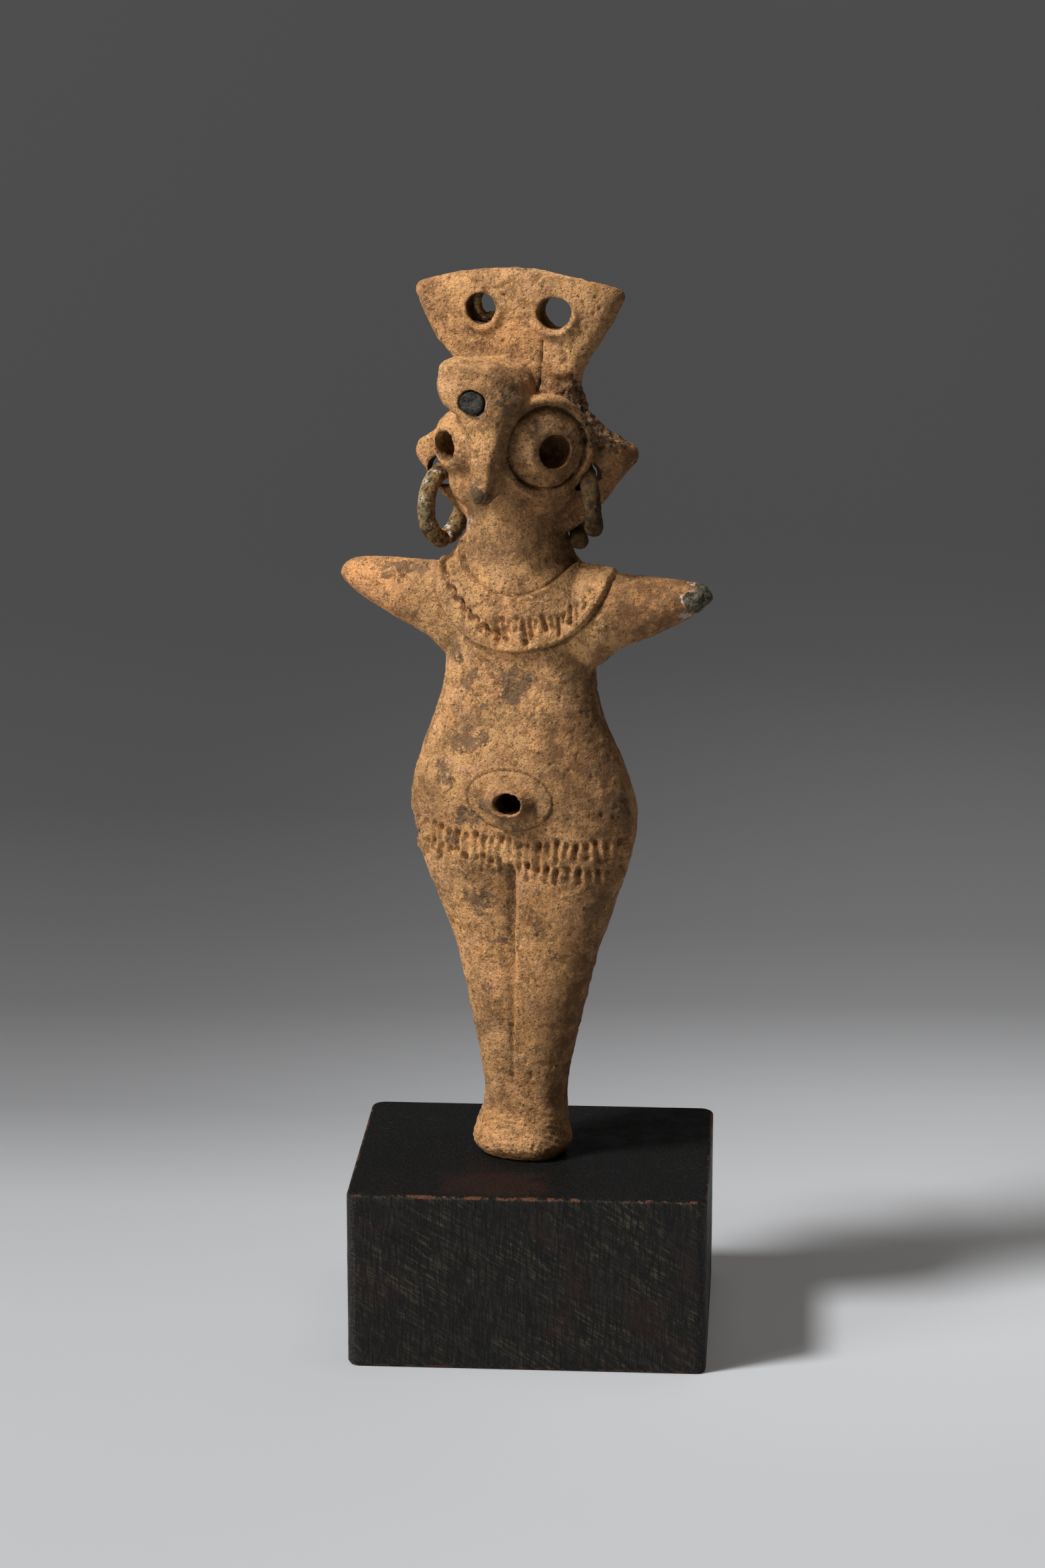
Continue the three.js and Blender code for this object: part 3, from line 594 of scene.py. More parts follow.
# %% Collar
COLLAR_OUTER = np.array(
    [
        # angle round the collar's middle in degrees, radius
        [-200, 113],
        [-180, 110],
        [-165, 110],
        [-150, 114],
        [-135, 116],
        [-120, 115],
        [-105, 113],
        [-90, 109],
        [-65, 105],
        [-40, 102],
        [-20, 99],
        [0, 94],
        [20, 88],
    ],
    float,
)
COLLAR_MIDDLE = np.array([12.0, 698.0])
collar_angle = np.degrees(np.arctan2(z - COLLAR_MIDDLE[1], x - COLLAR_MIDDLE[0]))
collar_angle = np.where(collar_angle > 60, collar_angle - 360, collar_angle)
collar_gap = np.hypot(x - COLLAR_MIDDLE[0], z - COLLAR_MIDDLE[1])
collar_rim = between(COLLAR_OUTER, collar_angle, 1)
neck_line = 66 - 9 * np.cos(np.radians(collar_angle)) - 19 * np.abs(np.sin(np.radians(collar_angle)))
under_chin = 1 - ramp(z, 700, 712)
on_collar = ramp(collar_rim - collar_gap, -1.5, 2.5) * ramp(collar_gap - neck_line, -1.5, 2.0)
on_collar *= ramp(z, 560, 580) * ramp(-y, -12, 2) * under_chin
push += 6.0 * on_collar
rim_crease = bell(collar_gap - collar_rim - 1.5, 2.0) * ramp(z, 560, 600) * under_chin * front
neck_crease = bell(collar_gap - neck_line + 1.0 + 1.5 * rough(at, 12, 46), 1.7) * under_chin * front
push -= 2.2 * rim_crease + (2.4 + 2.5 * rough(at, 14, 47)) * neck_crease
# Painted shade in the collar's rim and neck grooves.
crease_shade = np.maximum(crease_shade, np.maximum(0.8 * rim_crease, neck_crease))

rng = np.random.default_rng(5)


def on_line(line, place):
    """A point of a bent line, with its place counted in bends."""
    return np.array([np.interp(place, np.arange(len(line)), line[:, k]) for k in (0, 1)])


PIT_LINE = np.array([[-86, 672], [-77, 661], [-61, 643], [-45, 627], [-29, 614], [-11, 608]], float)
STROKE_LINE = np.array([[-12, 627], [11, 625], [38, 628], [61, 635], [84, 645]], float)
for along in np.linspace(0, 5, 9):
    spot, beside = on_line(PIT_LINE, along), on_line(PIT_LINE, along + 0.31)
    lean = np.array([-rng.uniform(1.5, 3.5), rng.uniform(4, 6)])
    stroke(spot - lean, spot + lean, 3.0, rng.uniform(8.0, 10.0), shade=0.45)
    stroke(beside - lean, beside + lean, 2.4, -rng.uniform(2.4, 3.4))
for across in np.linspace(-12, 84, 14) + rng.uniform(-1.5, 1.5, 14):
    on_strip = np.interp(across, STROKE_LINE[:, 0], STROKE_LINE[:, 1])
    top = np.array([across, on_strip + rng.uniform(-6, 3)])
    length = rng.uniform(9, 27) * (1 - 0.4 * ramp(across, 60, 84))
    bottom = top + np.array([rng.uniform(-2, 4), -length])
    stroke(top, bottom, rng.uniform(2.2, 3.2), rng.uniform(2.5, 6.5), shade=0.4)
    stroke(top + [3.5, -2], bottom + [3.5, 2], 2.0, -rng.uniform(0.3, 1.8))

# %% Girdle: two rows of pricks with ridged tails
for left_z, mid_z, right_z, tail in [(388, 377, 380, 19), (367, 350, 346, 14)]:
    for along in np.linspace(-121, 122, 24) + rng.uniform(-2, 2, 24):
        height = np.interp(along, [-121, 10, 124], [left_z, mid_z, right_z]) + rng.uniform(-3, 3)
        end = np.array([along + rng.uniform(-2.5, 2.5), height - tail * rng.uniform(0.7, 1.3)])
        # Painted shade in the pricks, darker towards the figure's right, which is turned from the light.
        prick_shade = 0.3 + 0.5 * ramp(along, -40, 30)
        stroke((along, height), (along, height - 3), rng.uniform(2.4, 3.4), rng.uniform(1.0, 5.0), shade=prick_shade)
        stroke((along, height), end, rng.uniform(2.2, 3.0), rng.uniform(1.5, 3.0), shade=0.35)
        stroke((along + 5, height - 3), end + [5, 0], 2.4, -rng.uniform(0.5, 2.2))

# %% Leg line, headdress line and the crack on the shin
LEG_ROWS = np.array(
    [
        # height, depth of the line, how far it fades to the left, to the right
        [56, 0, 2, 2],
        [100, 2.0, 2.5, 1.8],
        [180, 4.0, 5, 2.2],
        [260, 8.5, 17, 2.6],
        [310, 11.0, 21, 3.0],
        [338, 9.0, 20, 3.6],
        [352, 0, 8, 4.0],
    ],
    float,
)
leg_depth, leg_left, leg_right = (between(LEG_ROWS, z, k) for k in (1, 2, 3))
from_line = x - (z / 30 - 3) - 1.2 * noise(at, 22, 45)
leg_fade = np.exp(-np.abs(from_line / np.where(from_line < 0, leg_left, leg_right)) ** 1.5)
on_leg_line = np.clip(leg_depth, 0, None) * leg_fade * (z > 56) * (z < 352)
push -= on_leg_line * front + 0.6 * on_leg_line * rear
# Painted shade in the leg line.
crease_shade = np.maximum(crease_shade, np.clip(on_leg_line / 8, 0, 1) ** 2 * front)
stroke((28, 926), (25, 872), 1.3, 3.6, front * ramp(y, -46, -38))
stroke((35, 116), (64, 108), 1.4, 1.4)

# %% Eye grooves and hole lips


def ring_mark(middle, look, across, radius, width, depth, reach, flatten=1.0):
    """A groove or, with a negative depth, a ridge: a bell curve of the distance from a circle
    about an axis, on skin that looks along the axis."""
    gap = at - middle
    along = gap @ look
    r = np.hypot(gap @ across, gap[:, 2] / flatten)
    looks = ramp(facing @ look, 0.1, 0.5) * (1 - ramp(np.abs(along), 0.7 * reach, reach))
    mark = bell(r - radius, width) * looks
    push[:] -= depth * mark
    # A groove is also darkened with painted shade.
    if depth > 0:
        crease_shade[:] = np.maximum(crease_shade, mark)


ring_mark(EYE_MIDDLES[1], *EYE_AXES[1], 43.5, 1.6, 5.5, 40)
ring_mark(NAVEL_MIDDLE, *AHEAD, 50.0, 1.8, 2.0, 30, NAVEL_FLATNESS)
for hole in HEADDRESS_HOLES.values():
    gap = np.hypot(x - hole[0], z - hole[2])
    below = ramp(hole[2] - z + 0.3 * (x - hole[0]), -4, 14)
    push += 4.5 * bell(gap - 22, 4.0) * below * front

# %% Painted shade in the holes
# Each hole's walls are darkened between its two ends as painted shade.
for middle, (look, across), pin, _, (start, end, hole_shade) in HOLES:
    gap = at - middle
    along = gap @ look
    radius = max(r for r, _ in pin)
    inside = np.hypot(gap @ across, gap[:, 2]) < radius + 1.5
    between_ends = ramp(along, start - 6, start) * (1 - ramp(along, end - 3, end + 4))
    crease_shade = np.maximum(crease_shade, hole_shade * inside * between_ends)

# %% Hand-worked unevenness, sand and pits
push += 2.2 * rough(at, 90, 11) + 1.0 * rough(at, 34, 21)
push += 0.75 * rough(at, 9, 31, 2) + 0.45 * noise(at, 4.0, 41)
coarse = ramp(rough(at, 60, 51), -0.1, 0.5) * 0.5 + 0.6 * ramp(z, 880, 930) * (1 - ramp(np.abs(x), 40, 90))
pit = ramp(noise(at, 5.5, 61), 0.45, 0.8) * (0.35 + coarse)
push -= 2.2 * pit
# Fingertip ridges on the front of the foot: rings round a point below it.
ridge_gap = np.hypot(x - 2, z + 40) + 2 * rough(at, 20, 63)
on_foot = front * (1 - ramp(z, 50, 66)) * ramp(z, 6, 16)
push += 0.35 * np.sin(ridge_gap * 2 * np.pi / 5.6) * on_foot

print("marks reach from", np.round(push.min() * MM, 2), "to", np.round(push.max() * MM, 2), "mm")

# %% [markdown]
# ## Soil, painted shade and lime
#
# Colour that belongs to a place on the figure is stored on its skin as plain numbers, one for each
# point: painted shade in the grooves and holes, grey soil stains with one painted shadow, brown patina
# that also holds painted shade where the skin faces right, rubbed orange clay, white lime and dark
# crust. The material reads them by name and breaks up their edges with its own finer noise.

# %% Stains by place
ragged = 16 * rough(at, 13, 71) + 6 * noise(at, 4.5, 75)


def spots(places, side=front):
    """The strongest of several round stains at (x, z, radius, strength), with ragged edges."""
    cover = np.zeros(len(at))
    for px, pz, radius, strength in places:
        gap = np.hypot(x - px, z - pz) + ragged * min(1.0, radius / 22)
        cover = np.maximum(cover, strength * (1 - ramp(gap, 0.55 * radius, 1.15 * radius)))
    return cover * side


# Grey soil stains; the spot at (37, 839), on the right eye's disc under the brow, is a painted shadow of the
# brow.
soil_and_shadow = spots(
    [
        (5, 558, 17, 1.0), (2, 541, 11, 1.0), (16, 562, 9, 0.9), (-39, 559, 8, 0.9),
        (-55, 546, 14, 0.7), (-64, 581, 16, 0.9), (-28, 526, 8, 0.8), (-30, 491, 16, 0.9),
        (-49, 484, 20, 0.7), (-76, 446, 18, 0.8), (-19, 421, 11, 1.0), (-46, 398, 17, 0.9),
        (-64, 374, 10, 0.7), (0, 400, 10, 0.7), (14, 393, 12, 0.8), (129, 414, 22, 0.8),
        (93, 459, 10, 0.7), (86, 298, 15, 0.8), (-136, 672, 17, 1.0), (-152, 660, 10, 0.8),
        (-112, 671, 12, 0.7), (18, 876, 16, 0.8), (37, 839, 14, 0.8), (-3, 345, 11, 0.8),
        (-38, 304, 20, 0.8), (-12, 260, 18, 0.6), (-28, 201, 14, 0.5), (116, 972, 14, 0.8),
    ]
)
soil_and_shadow = np.maximum(soil_and_shadow, 0.38 * ramp(rough(at, 40, 81), 0.25, 0.5))
# Brown patina by place, and painted shade: the right side of the belly, every part that faces right and the
# right eye's socket are darkened where they turn from the light.
patina_and_shade = 1.1 * ramp(x, 96, 150) * ramp(z, 590, 640)
patina_and_shade += 0.45 * ramp(x, 20, 100) * ramp(z, 400, 520) * (1 - ramp(z, 560, 620))
patina_and_shade += 0.65 * ramp(facing[:, 0], 0.15, 0.8) + 0.35 * (1 - ramp(z, 150, 250)) * ramp(z, 50, 70)
patina_and_shade += spots(
    [
        (-22, 886, 40, 0.35), (12, 722, 62, 0.5), (-105, 405, 45, 0.45), (30, 420, 60, 0.2),
        (72, 470, 52, 0.5), (92, 425, 45, 0.45), (55, 330, 70, 0.25), (-20, 330, 30, 0.4),
        (150, 645, 55, 0.6),
    ]
)
right_socket_shade = ramp(52 - np.hypot(x - EYE_MIDDLES[1][0], z - EYE_MIDDLES[1][2]), -4, 4)
patina_and_shade += 0.5 * right_socket_shade * ramp(facing[:, 0], 0.2, 0.5)
patina_and_shade = np.clip(patina_and_shade + 0.35 * ramp(rough(at, 55, 83), -0.1, 0.4), 0, 1)
warm = 0.6 * ramp(rough(at, 70, 91), -0.2, 0.6) + 0.9 * ramp(np.abs(x), 100, 150) * (z > 560)
warm = np.clip(warm, 0, 1)

# %% Lime, crust and the eaten edge
ARM_TIP = (204, 655, 17, 1.0)
lime = spots([(-53, 724, 10, 0.6), (-92, 793, 11, 0.9), (192, 633, 10, 0.9)])
seat = np.hypot(x - INLAY_AT[0], z - INLAY_AT[2])
lime = np.maximum(lime, 0.5 * bell(seat - 16, 2.5) * (y < -80) * ramp(x - z, -900, -880))
lime = np.maximum(lime, 0.6 * ramp(rough(at, 10, 93), 0.52, 0.7) * ramp(rough(at, 60, 94), 0.0, 0.4))
crust = spots([ARM_TIP], 1.0)
push += crust * (2.4 * np.abs(rough(at, 9, 95)) + 0.8)
crust_edge = np.hypot(x - ARM_TIP[0], z - ARM_TIP[1]) + ragged * 0.6 - ARM_TIP[2]
lime = np.maximum(lime, 0.9 * bell(crust_edge, 3.0) * ramp(rough(at, 12, 97), -0.2, 0.2))
EATEN_SPOTS = [
    (66, 866, 18, 0.9), (76, 848, 22, 1.0), (90, 830, 20, 1.0), (103, 815, 12, 0.9), (54, 880, 14, 0.7),
]
eaten = spots(EATEN_SPOTS, ramp(y, -34, -24))
push += eaten * (3.5 * rough(at, 10, 96, 3) + 1.6 * noise(at, 4.0, 98) - 1.5)
beak = spots([(-16, 772, 17, 1.0)], front * (y < -75))
marks = dict(
    painted_crease_shade=crease_shade, soil_and_shadow=soil_and_shadow, warm=warm, lime=lime, patina_and_shade=patina_and_shade, crust=crust, eaten=eaten, beak=beak
)
print("stained share of the skin:", np.round(np.mean(soil_and_shadow > 0.4), 3))

# %% [markdown]
# The skin has more points than it needs on its smooth parts. A decimate step drops those and keeps
# the marks, and the finished points then go to their place on the block.

# %% Thin the skin and stand it on the block
clay.data.vertices.foreach_set("co", ((at + facing * push[:, None]) * MM).astype(np.float32).ravel())
for name, values in marks.items():
    layer = clay.data.attributes.new(name, "FLOAT", "POINT")
    layer.data.foreach_set("value", values.astype(np.float32))
clay.data.update()
corners = sum(len(p.vertices) - 2 for p in clay.data.polygons)
MOST_TRIANGLES = 190000
thin = clay.modifiers.new("thin", "DECIMATE")
thin.ratio = min(1.0, MOST_TRIANGLES / corners)
bake(clay)
clay.data.vertices.foreach_set("co", stand(skin_points(clay) / MM).astype(np.float32).ravel())
clay.data.polygons.foreach_set("use_smooth", np.ones(len(clay.data.polygons), bool))
clay.data.update()
clay.name = "clay_figure_skin"
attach(clay, "root")
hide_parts("clay_figure")
print("figure:", corners, "triangles thinned to", len(clay.data.polygons))

# %% [markdown]
# ## Earrings and the ring stub
#
# The earrings are thick wire hoops, bent open at the bottom so that their ends miss each other.
# Corrosion has swollen and pitted them. Each is a ring of circles carried along the hoop, with the
# radius worked over by noise. The stub in the headdress hole is made the same way along a bent line.

# %% Hoops of corroded wire
EARRING_RADIUS, WIRE = 5.5 / MM, 1.5 / MM
EARRING_TURNS = {-1: np.radians(-12.0), 1: np.radians(29.0)}
END_DRIFT = {-1: 1.0 / MM, 1: 1.9 / MM}
GAPS = {-1: np.radians(14.0), 1: np.radians(34.0)}
GAP_TURNS = {-1: 0.0, 1: np.radians(-32.0)}
HOOP_TOPS = {-1: np.array([-92.0, 0, 775]), 1: np.array([69.0, 0, 785])}


def carried(path, radius, sides=40):
    """Circles carried along a path: at each point one circle stands square to the path's run, with
    its first spoke kept level with a fixed side direction."""
    run = np.gradient(path, axis=0)
    run /= np.linalg.norm(run, axis=1, keepdims=True)
    flat = np.linalg.svd(path - path.mean(0))[2][2]
    one = np.cross(run, flat)
    one /= np.linalg.norm(one, axis=1, keepdims=True)
    two = np.cross(run, one)
    angle = np.linspace(0, 2 * np.pi, sides, endpoint=False)[None, :, None]
    radius = np.broadcast_to(radius, len(path))[:, None, None]
    return path[:, None] + radius * (np.cos(angle) * one[:, None] + np.sin(angle) * two[:, None])


def hoop_path(side, count=150):
    """An open circle hung from its ear hole: the angle sweeps all but the gap at the bottom, and
    the ends drift to opposite sides with the cube of the distance from the top."""
    t = np.linspace(-0.5, 0.5, count)
    angle = GAP_TURNS[side] + t * (2 * np.pi - GAPS[side])
    aside = END_DRIFT[side] * 4 * t**3
    along, up = EARRING_RADIUS * np.sin(angle), EARRING_RADIUS * (np.cos(angle) - 1)
    c, s = np.cos(EARRING_TURNS[side]), np.sin(EARRING_TURNS[side])
    return HOOP_TOPS[side] + np.stack([along * s + aside * c, -along * c + aside * s, up], -1)


def corroded(path, radius, seed, strength=1.0):
    """A wire's circles, swollen and pitted along their own spokes by noise, with rounded ends."""
    ends = np.minimum(np.arange(len(path)), np.arange(len(path))[::-1]) / 4.0
    rounded = np.sqrt(np.clip(1 - (1 - np.clip(ends, 0.05, 1)) ** 2, 0.02, 1))
    grid = carried(path, radius * rounded)
    spoke = grid - path[:, None]
    q = grid.reshape(-1, 3)
    swell = 0.10 * rough(q, 14, seed) + 0.09 * rough(q, 4.5, seed + 7) + 0.04 * noise(q, 1.6, seed + 9)
    return path[:, None] + spoke * (1 + strength * swell.reshape(grid.shape[:2])[..., None])


def finish_piece(name, grid, node):
    """Make a grid's skin an object on the block, standing for its CAD node."""
    points, faces = skin(grid)
    made = make_object(name, stand(points), faces)
    outward(made)
    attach(made, "root")
    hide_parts(node)
    return made


hoops = {side: corroded(hoop_path(side), WIRE * 0.93, seed) for side, seed in ((-1, 101), (1, 131))}
earrings = [
    finish_piece(f"{word}_earring_hoop", hoops[side], f"{word}_earring")
    for side, word in ((-1, "left"), (1, "right"))
]

# %% The stub of a ring in the headdress
STUB_SIZE, STUB_WIRE = 2.6 / MM, 0.65 / MM
STUB_BENDS = np.array(
    [
        (-0.18, -0.30, 1.06), (-0.46, -0.25, 0.45), (-0.42, -0.1, -0.2),
        (-0.1, 0.15, -0.62), (0.4, 0.4, -0.52), (0.98, 0.6, -0.4),
    ]
)


def smooth_path(bends, count):
    """A cubic through the bends, each column read with the same rule as the tables."""
    rows = np.column_stack([np.arange(len(bends)), bends])
    place = np.linspace(0, len(bends) - 1, count)
    return np.stack([between(rows, place, k) for k in (1, 2, 3)], -1)


stub_path = HEADDRESS_HOLES[-1] + smooth_path(STUB_BENDS, 60) * STUB_SIZE
stub_wire = corroded(stub_path, STUB_WIRE, 151)
stub = finish_piece("ring_stub", stub_wire, "headdress_ring_stub")
print("wires made:", [e.name for e in earrings], stub.name)

# %% [markdown]
# The inlay is a small polished disc, slightly domed, set in a drilled seat in the brow.

# %% Inlay
dome = [(0, -11), (13, -11), (13.6, -9), (13.6, -1), (12.6, 0.6), (9, 1.4), (5, 1.7), (0, 1.8)]
inlay_grid = spin(dome, INLAY_AT, *AHEAD, 96, 0.9)
inlay_grid[..., 1] += 0.25 * noise(inlay_grid.reshape(-1, 3), 3.0, 171).reshape(inlay_grid.shape[:2])
inlay = finish_piece("brow_inlay", inlay_grid, "forehead_inlay")

# %% [markdown]
# ## The block
#
# A sawn hardwood block, stained black and waxed. Handling has rounded its corners and rubbed the
# stain from its edges. It is one closed skin: rounded rectangles that grow from the middle of the
# underside, climb the sides and close again over the top, with a little noise for saw marks.

# %% Block
BLOCK = np.array([0.057, 0.045, 0.029])


def block_grid():
    """Rounded rectangles drawn in by the edge's rounding, from the underside's middle to the
    top's middle."""
    corner, soft = 0.0018, 0.0007
    w, d = BLOCK[0] / 2 - corner, BLOCK[1] / 2 - corner
    turn = np.linspace(0, np.pi / 2, 14)
    arcs = [
        np.stack([sx * w + corner * np.cos(turn + k), sy * d + corner * np.sin(turn + k)], -1)
        for sx, sy, k in ((1, 1, 0), (-1, 1, np.pi / 2), (-1, -1, np.pi), (1, -1, 1.5 * np.pi))
    ]
    sides = []
    for one, nxt in zip(arcs, arcs[1:] + arcs[:1]):
        sides += [one, one[-1] + (nxt[0] - one[-1]) * np.linspace(0, 1, 62)[1:-1, None]]
    outline = np.concatenate(sides)
    out = np.linspace(0.02, 1, 24)
    lean = np.linspace(0, np.pi / 2, 7)
    climb = np.linspace(soft, BLOCK[2] - soft, 44)
    below, above = soft * (1 - np.sin(lean)), soft * (1 - np.cos(lean))
    inset = np.concatenate([0 * out + soft, below[1:], 0 * climb[1:-1], above, 0 * out[1:] + soft])
    share = np.concatenate([out, np.ones(6), np.ones(42), np.ones(7), out[::-1][1:]])
    shoulder = BLOCK[2] - soft + soft * np.sin(lean)
    height = np.concatenate([0 * out, above[1:], climb[1:-1], shoulder, 0 * out[1:] + BLOCK[2]])
    size = np.array([BLOCK[0] / 2, BLOCK[1] / 2])
    flat = outline[None] * (share[:, None] * (1 - inset[:, None] / size.mean()))[..., None]
    return np.concatenate([flat, np.broadcast_to(height[:, None, None], flat.shape[:2] + (1,))], -1)


block_points = block_grid()
q = block_points.reshape(-1, 3) * 1000
inward = -q / np.linalg.norm(q, axis=1, keepdims=True)
wear = 0.05 + 0.05 * rough(q, 9, 201) + 0.03 * rough(q, 2.0, 203)
away_from_floor = ramp(q[:, 2], 0.2, 1.2)
bare_top = 1 - 0.9 * ramp(q[:, 2], 28.6, 28.99) * (1 - ramp(np.hypot(q[:, 0] + 1.8, q[:, 1] - 0.5), 9, 12))
push_in = np.clip(wear, 0, None) * away_from_floor * bare_top
moved = q + inward * push_in[:, None] * [1, 1, 0.4]
block_grid_worn = (moved / 1000).reshape(block_points.shape)
points, faces = skin(block_grid_worn)
block = make_object("block_wood", points, faces)
outward(block)
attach(block, "root")
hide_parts("wood_block")
print("block:", len(block.data.polygons), "faces")

# %% [markdown]
# ## Materials
#
# Every finish is built from nodes on object coordinates, so it stays with the piece. A tiny helper
# adds a node, sets its values and joins its inputs in one line.

# %% A helper for node trees


class Finish:
    """A material being built: add() makes a node and links or sets each of its inputs."""

    def __init__(self, name):
        self.material = bpy.data.materials.new(name)
        self.material.use_nodes = True
        self.tree = self.material.node_tree
        self.tree.nodes.clear()
        self.out = self.add("ShaderNodeOutputMaterial")
        self.shader = self.add("ShaderNodeBsdfPrincipled")
        self.put(self.out.inputs["Surface"], self.shader.outputs[0])
        self.place = self.add("ShaderNodeTexCoord").outputs["Object"]

    def put(self, socket, value):
        """Join an input to another node's output, or set it to a plain value."""
        if isinstance(value, bpy.types.NodeSocket):
            self.tree.links.new(value, socket)
        else:
            socket.default_value = value

    def add(self, kind, settings=None, **inputs):
        """A node of this kind. Inputs go by name, or by number as i0, i1 and so on."""
        node = self.tree.nodes.new(kind)
        for key, value in (settings or {}).items():
            setattr(node, key, value)
        for key, value in inputs.items():
            numbered = key[0] == "i" and key[1:].isdigit()
            self.put(node.inputs[int(key[1:]) if numbered else key.replace("_", " ")], value)
        return node

    def noise(self, scale, detail=4.0, roughness=0.6, vector=None):
        """Fractal noise; scale is in cells a metre."""
        place = vector or self.place
        made = self.add("ShaderNodeTexNoise", Vector=place, Scale=scale, Detail=detail, Roughness=roughness)
        return made.outputs["Fac"]

    def grains(self, scale):
        """Distance to the nearest of scattered points: round grains or pits."""
        return self.add("ShaderNodeTexVoronoi", Vector=self.place, Scale=scale).outputs["Distance"]

    def ramp(self, value, low, high, start=0.0, end=1.0):
        """The value spread from low..high to start..end with an S-shaped blend, and held outside."""
        smooth = {"interpolation_type": "SMOOTHSTEP"}
        return self.add("ShaderNodeMapRange", smooth, i0=value, i1=low, i2=high, i3=start, i4=end).outputs[0]

    def math(self, kind, a, b=0.0):
        """One sum on two numbers, such as ADD or MAXIMUM."""
        return self.add("ShaderNodeMath", {"operation": kind}, i0=a, i1=b).outputs[0]

    def times(self, a, b):
        """Two numbers multiplied."""
        return self.math("MULTIPLY", a, b)

    def mix(self, share, a, b):
        """Blend two colours by a share from 0 to 1."""
        node = self.add("ShaderNodeMix", {"data_type": "RGBA"})
        for k, value in ((0, share), (6, a), (7, b)):
            ready = value if isinstance(value, (float, bpy.types.NodeSocket)) else (*value, 1.0)
            self.put(node.inputs[k], ready)
        return node.outputs[2]

    def mark(self, name):
        """A number stored on the skin under this name."""
        return self.add("ShaderNodeAttribute", {"attribute_name": name}).outputs["Fac"]

    def bump(self, height, distance, strength=1.0, under=None):
        """Tilt the surface's shading as if it rose by height times distance, in metres."""
        node = self.add("ShaderNodeBump", Strength=strength, Distance=distance, Height=height)
        if under is not None:
            self.put(node.inputs["Normal"], under)
        return node.outputs[0]

    def set(self, **inputs):
        """Set the surface's own inputs and give back the finished material."""
        for key, value in inputs.items():
            self.put(self.shader.inputs[key.replace("_", " ")], value)
        return self.material


# %% [markdown]
# Fired clay: a tan ground that drifts to orange, peppered with dark and pale sand grains, with
# painted shade in every groove and hole. It is almost without gloss.

# %% Terracotta
f = Finish("terracotta")
drift = f.ramp(f.noise(90, 3), 0.35, 0.65)
mottle = f.noise(420, 5, 0.7)
ground = f.mix(drift, (0.84, 0.46, 0.186), (0.71, 0.352, 0.132))
ground = f.mix(f.ramp(f.noise(230, 5, 0.7), 0.48, 0.62, 0.0, 0.6), ground, (0.72, 0.38, 0.20))
ground = f.mix(f.times(f.mark("warm"), 0.75), ground, (0.90, 0.40, 0.155))
ground = f.mix(f.ramp(mottle, 0.47, 0.61, 0.0, 0.72), ground, (0.29, 0.137, 0.05))
cloudy = f.ramp(f.noise(45, 3), 0.42, 0.58, 0.25, 1.0)
film = f.times(f.ramp(f.noise(150, 8, 0.72), 0.48, 0.60), cloudy)
ground = f.mix(f.times(film, 0.6), ground, (0.165, 0.084, 0.034))
ground = f.mix(f.ramp(f.noise(1500, 5, 0.75), 0.51, 0.61, 0.0, 0.6), ground, (0.90, 0.55, 0.25))
ground = f.mix(f.ramp(f.noise(1900, 5, 0.75), 0.55, 0.62, 0.0, 0.8), ground, (0.10, 0.045, 0.018))
# Patina, with painted shade on the parts that face right.
patina_and_shade_share = f.times(f.mark("patina_and_shade"), f.ramp(f.noise(500, 4, 0.7), 0.35, 0.6, 0.5, 0.9))
ground = f.mix(patina_and_shade_share, ground, (0.17, 0.082, 0.032))
specks = f.ramp(f.grains(800), 0.0, 0.27, 1.0, 0.0)
coarse_specks = f.times(specks, f.ramp(f.noise(260, 2), 0.50, 0.62))
ground = f.mix(coarse_specks, ground, (0.06, 0.034, 0.018))
pale_sand = f.times(f.ramp(f.grains(650), 0.0, 0.14, 0.7, 0.0), f.ramp(f.noise(310, 2), 0.5, 0.62))
ground = f.mix(pale_sand, ground, (0.72, 0.60, 0.45))
edge = f.noise(900, 6, 0.75)
# Soil stains, and a painted shadow of the brow on the right eye.
broken_soil_and_shadow = f.times(f.mark("soil_and_shadow"), f.ramp(edge, 0.36, 0.62, 0.35, 1.35))
soil_and_shadow_tone = f.mix(f.ramp(mottle, 0.4, 0.6), (0.08, 0.048, 0.026), (0.24, 0.145, 0.078))
ground = f.mix(f.ramp(broken_soil_and_shadow, 0.28, 0.75, 0.0, 0.8), ground, soil_and_shadow_tone)
# Painted shade: grooves and holes darkened to near black-brown.
broken_crease_shade = f.times(f.mark("painted_crease_shade"), f.ramp(edge, 0.3, 0.6, 0.55, 1.2))
crease_shade_share = f.ramp(broken_crease_shade, 0.25, 1.6, 0.0, 0.93)
ground = f.mix(crease_shade_share, ground, (0.05, 0.024, 0.010))
broken_lime = f.times(f.mark("lime"), f.ramp(f.noise(1300, 3), 0.4, 0.6))
ground = f.mix(f.ramp(broken_lime, 0.2, 0.6, 0.0, 0.7), ground, (0.66, 0.60, 0.52))
eaten_tone = f.mix(f.ramp(f.noise(1500, 6, 0.8), 0.42, 0.60), (0.028, 0.016, 0.009), (0.36, 0.20, 0.10))
ground = f.mix(f.ramp(f.mark("eaten"), 0.3, 0.8, 0.0, 0.85), ground, eaten_tone)
crust_tone = f.mix(f.ramp(f.noise(1400, 5, 0.75), 0.42, 0.62), (0.055, 0.046, 0.03), (0.20, 0.17, 0.12))
ground = f.mix(f.ramp(f.mark("crust"), 0.3, 0.6), ground, crust_tone)
ground = f.mix(f.ramp(f.mark("beak"), 0.2, 0.8, 0.0, 0.75), ground, (0.035, 0.039, 0.027))
pits = f.ramp(f.grains(1500), 0.0, 0.35)
sand = f.math("ADD", f.times(f.noise(2600, 4, 0.65), 0.55), f.times(pits, 0.35))
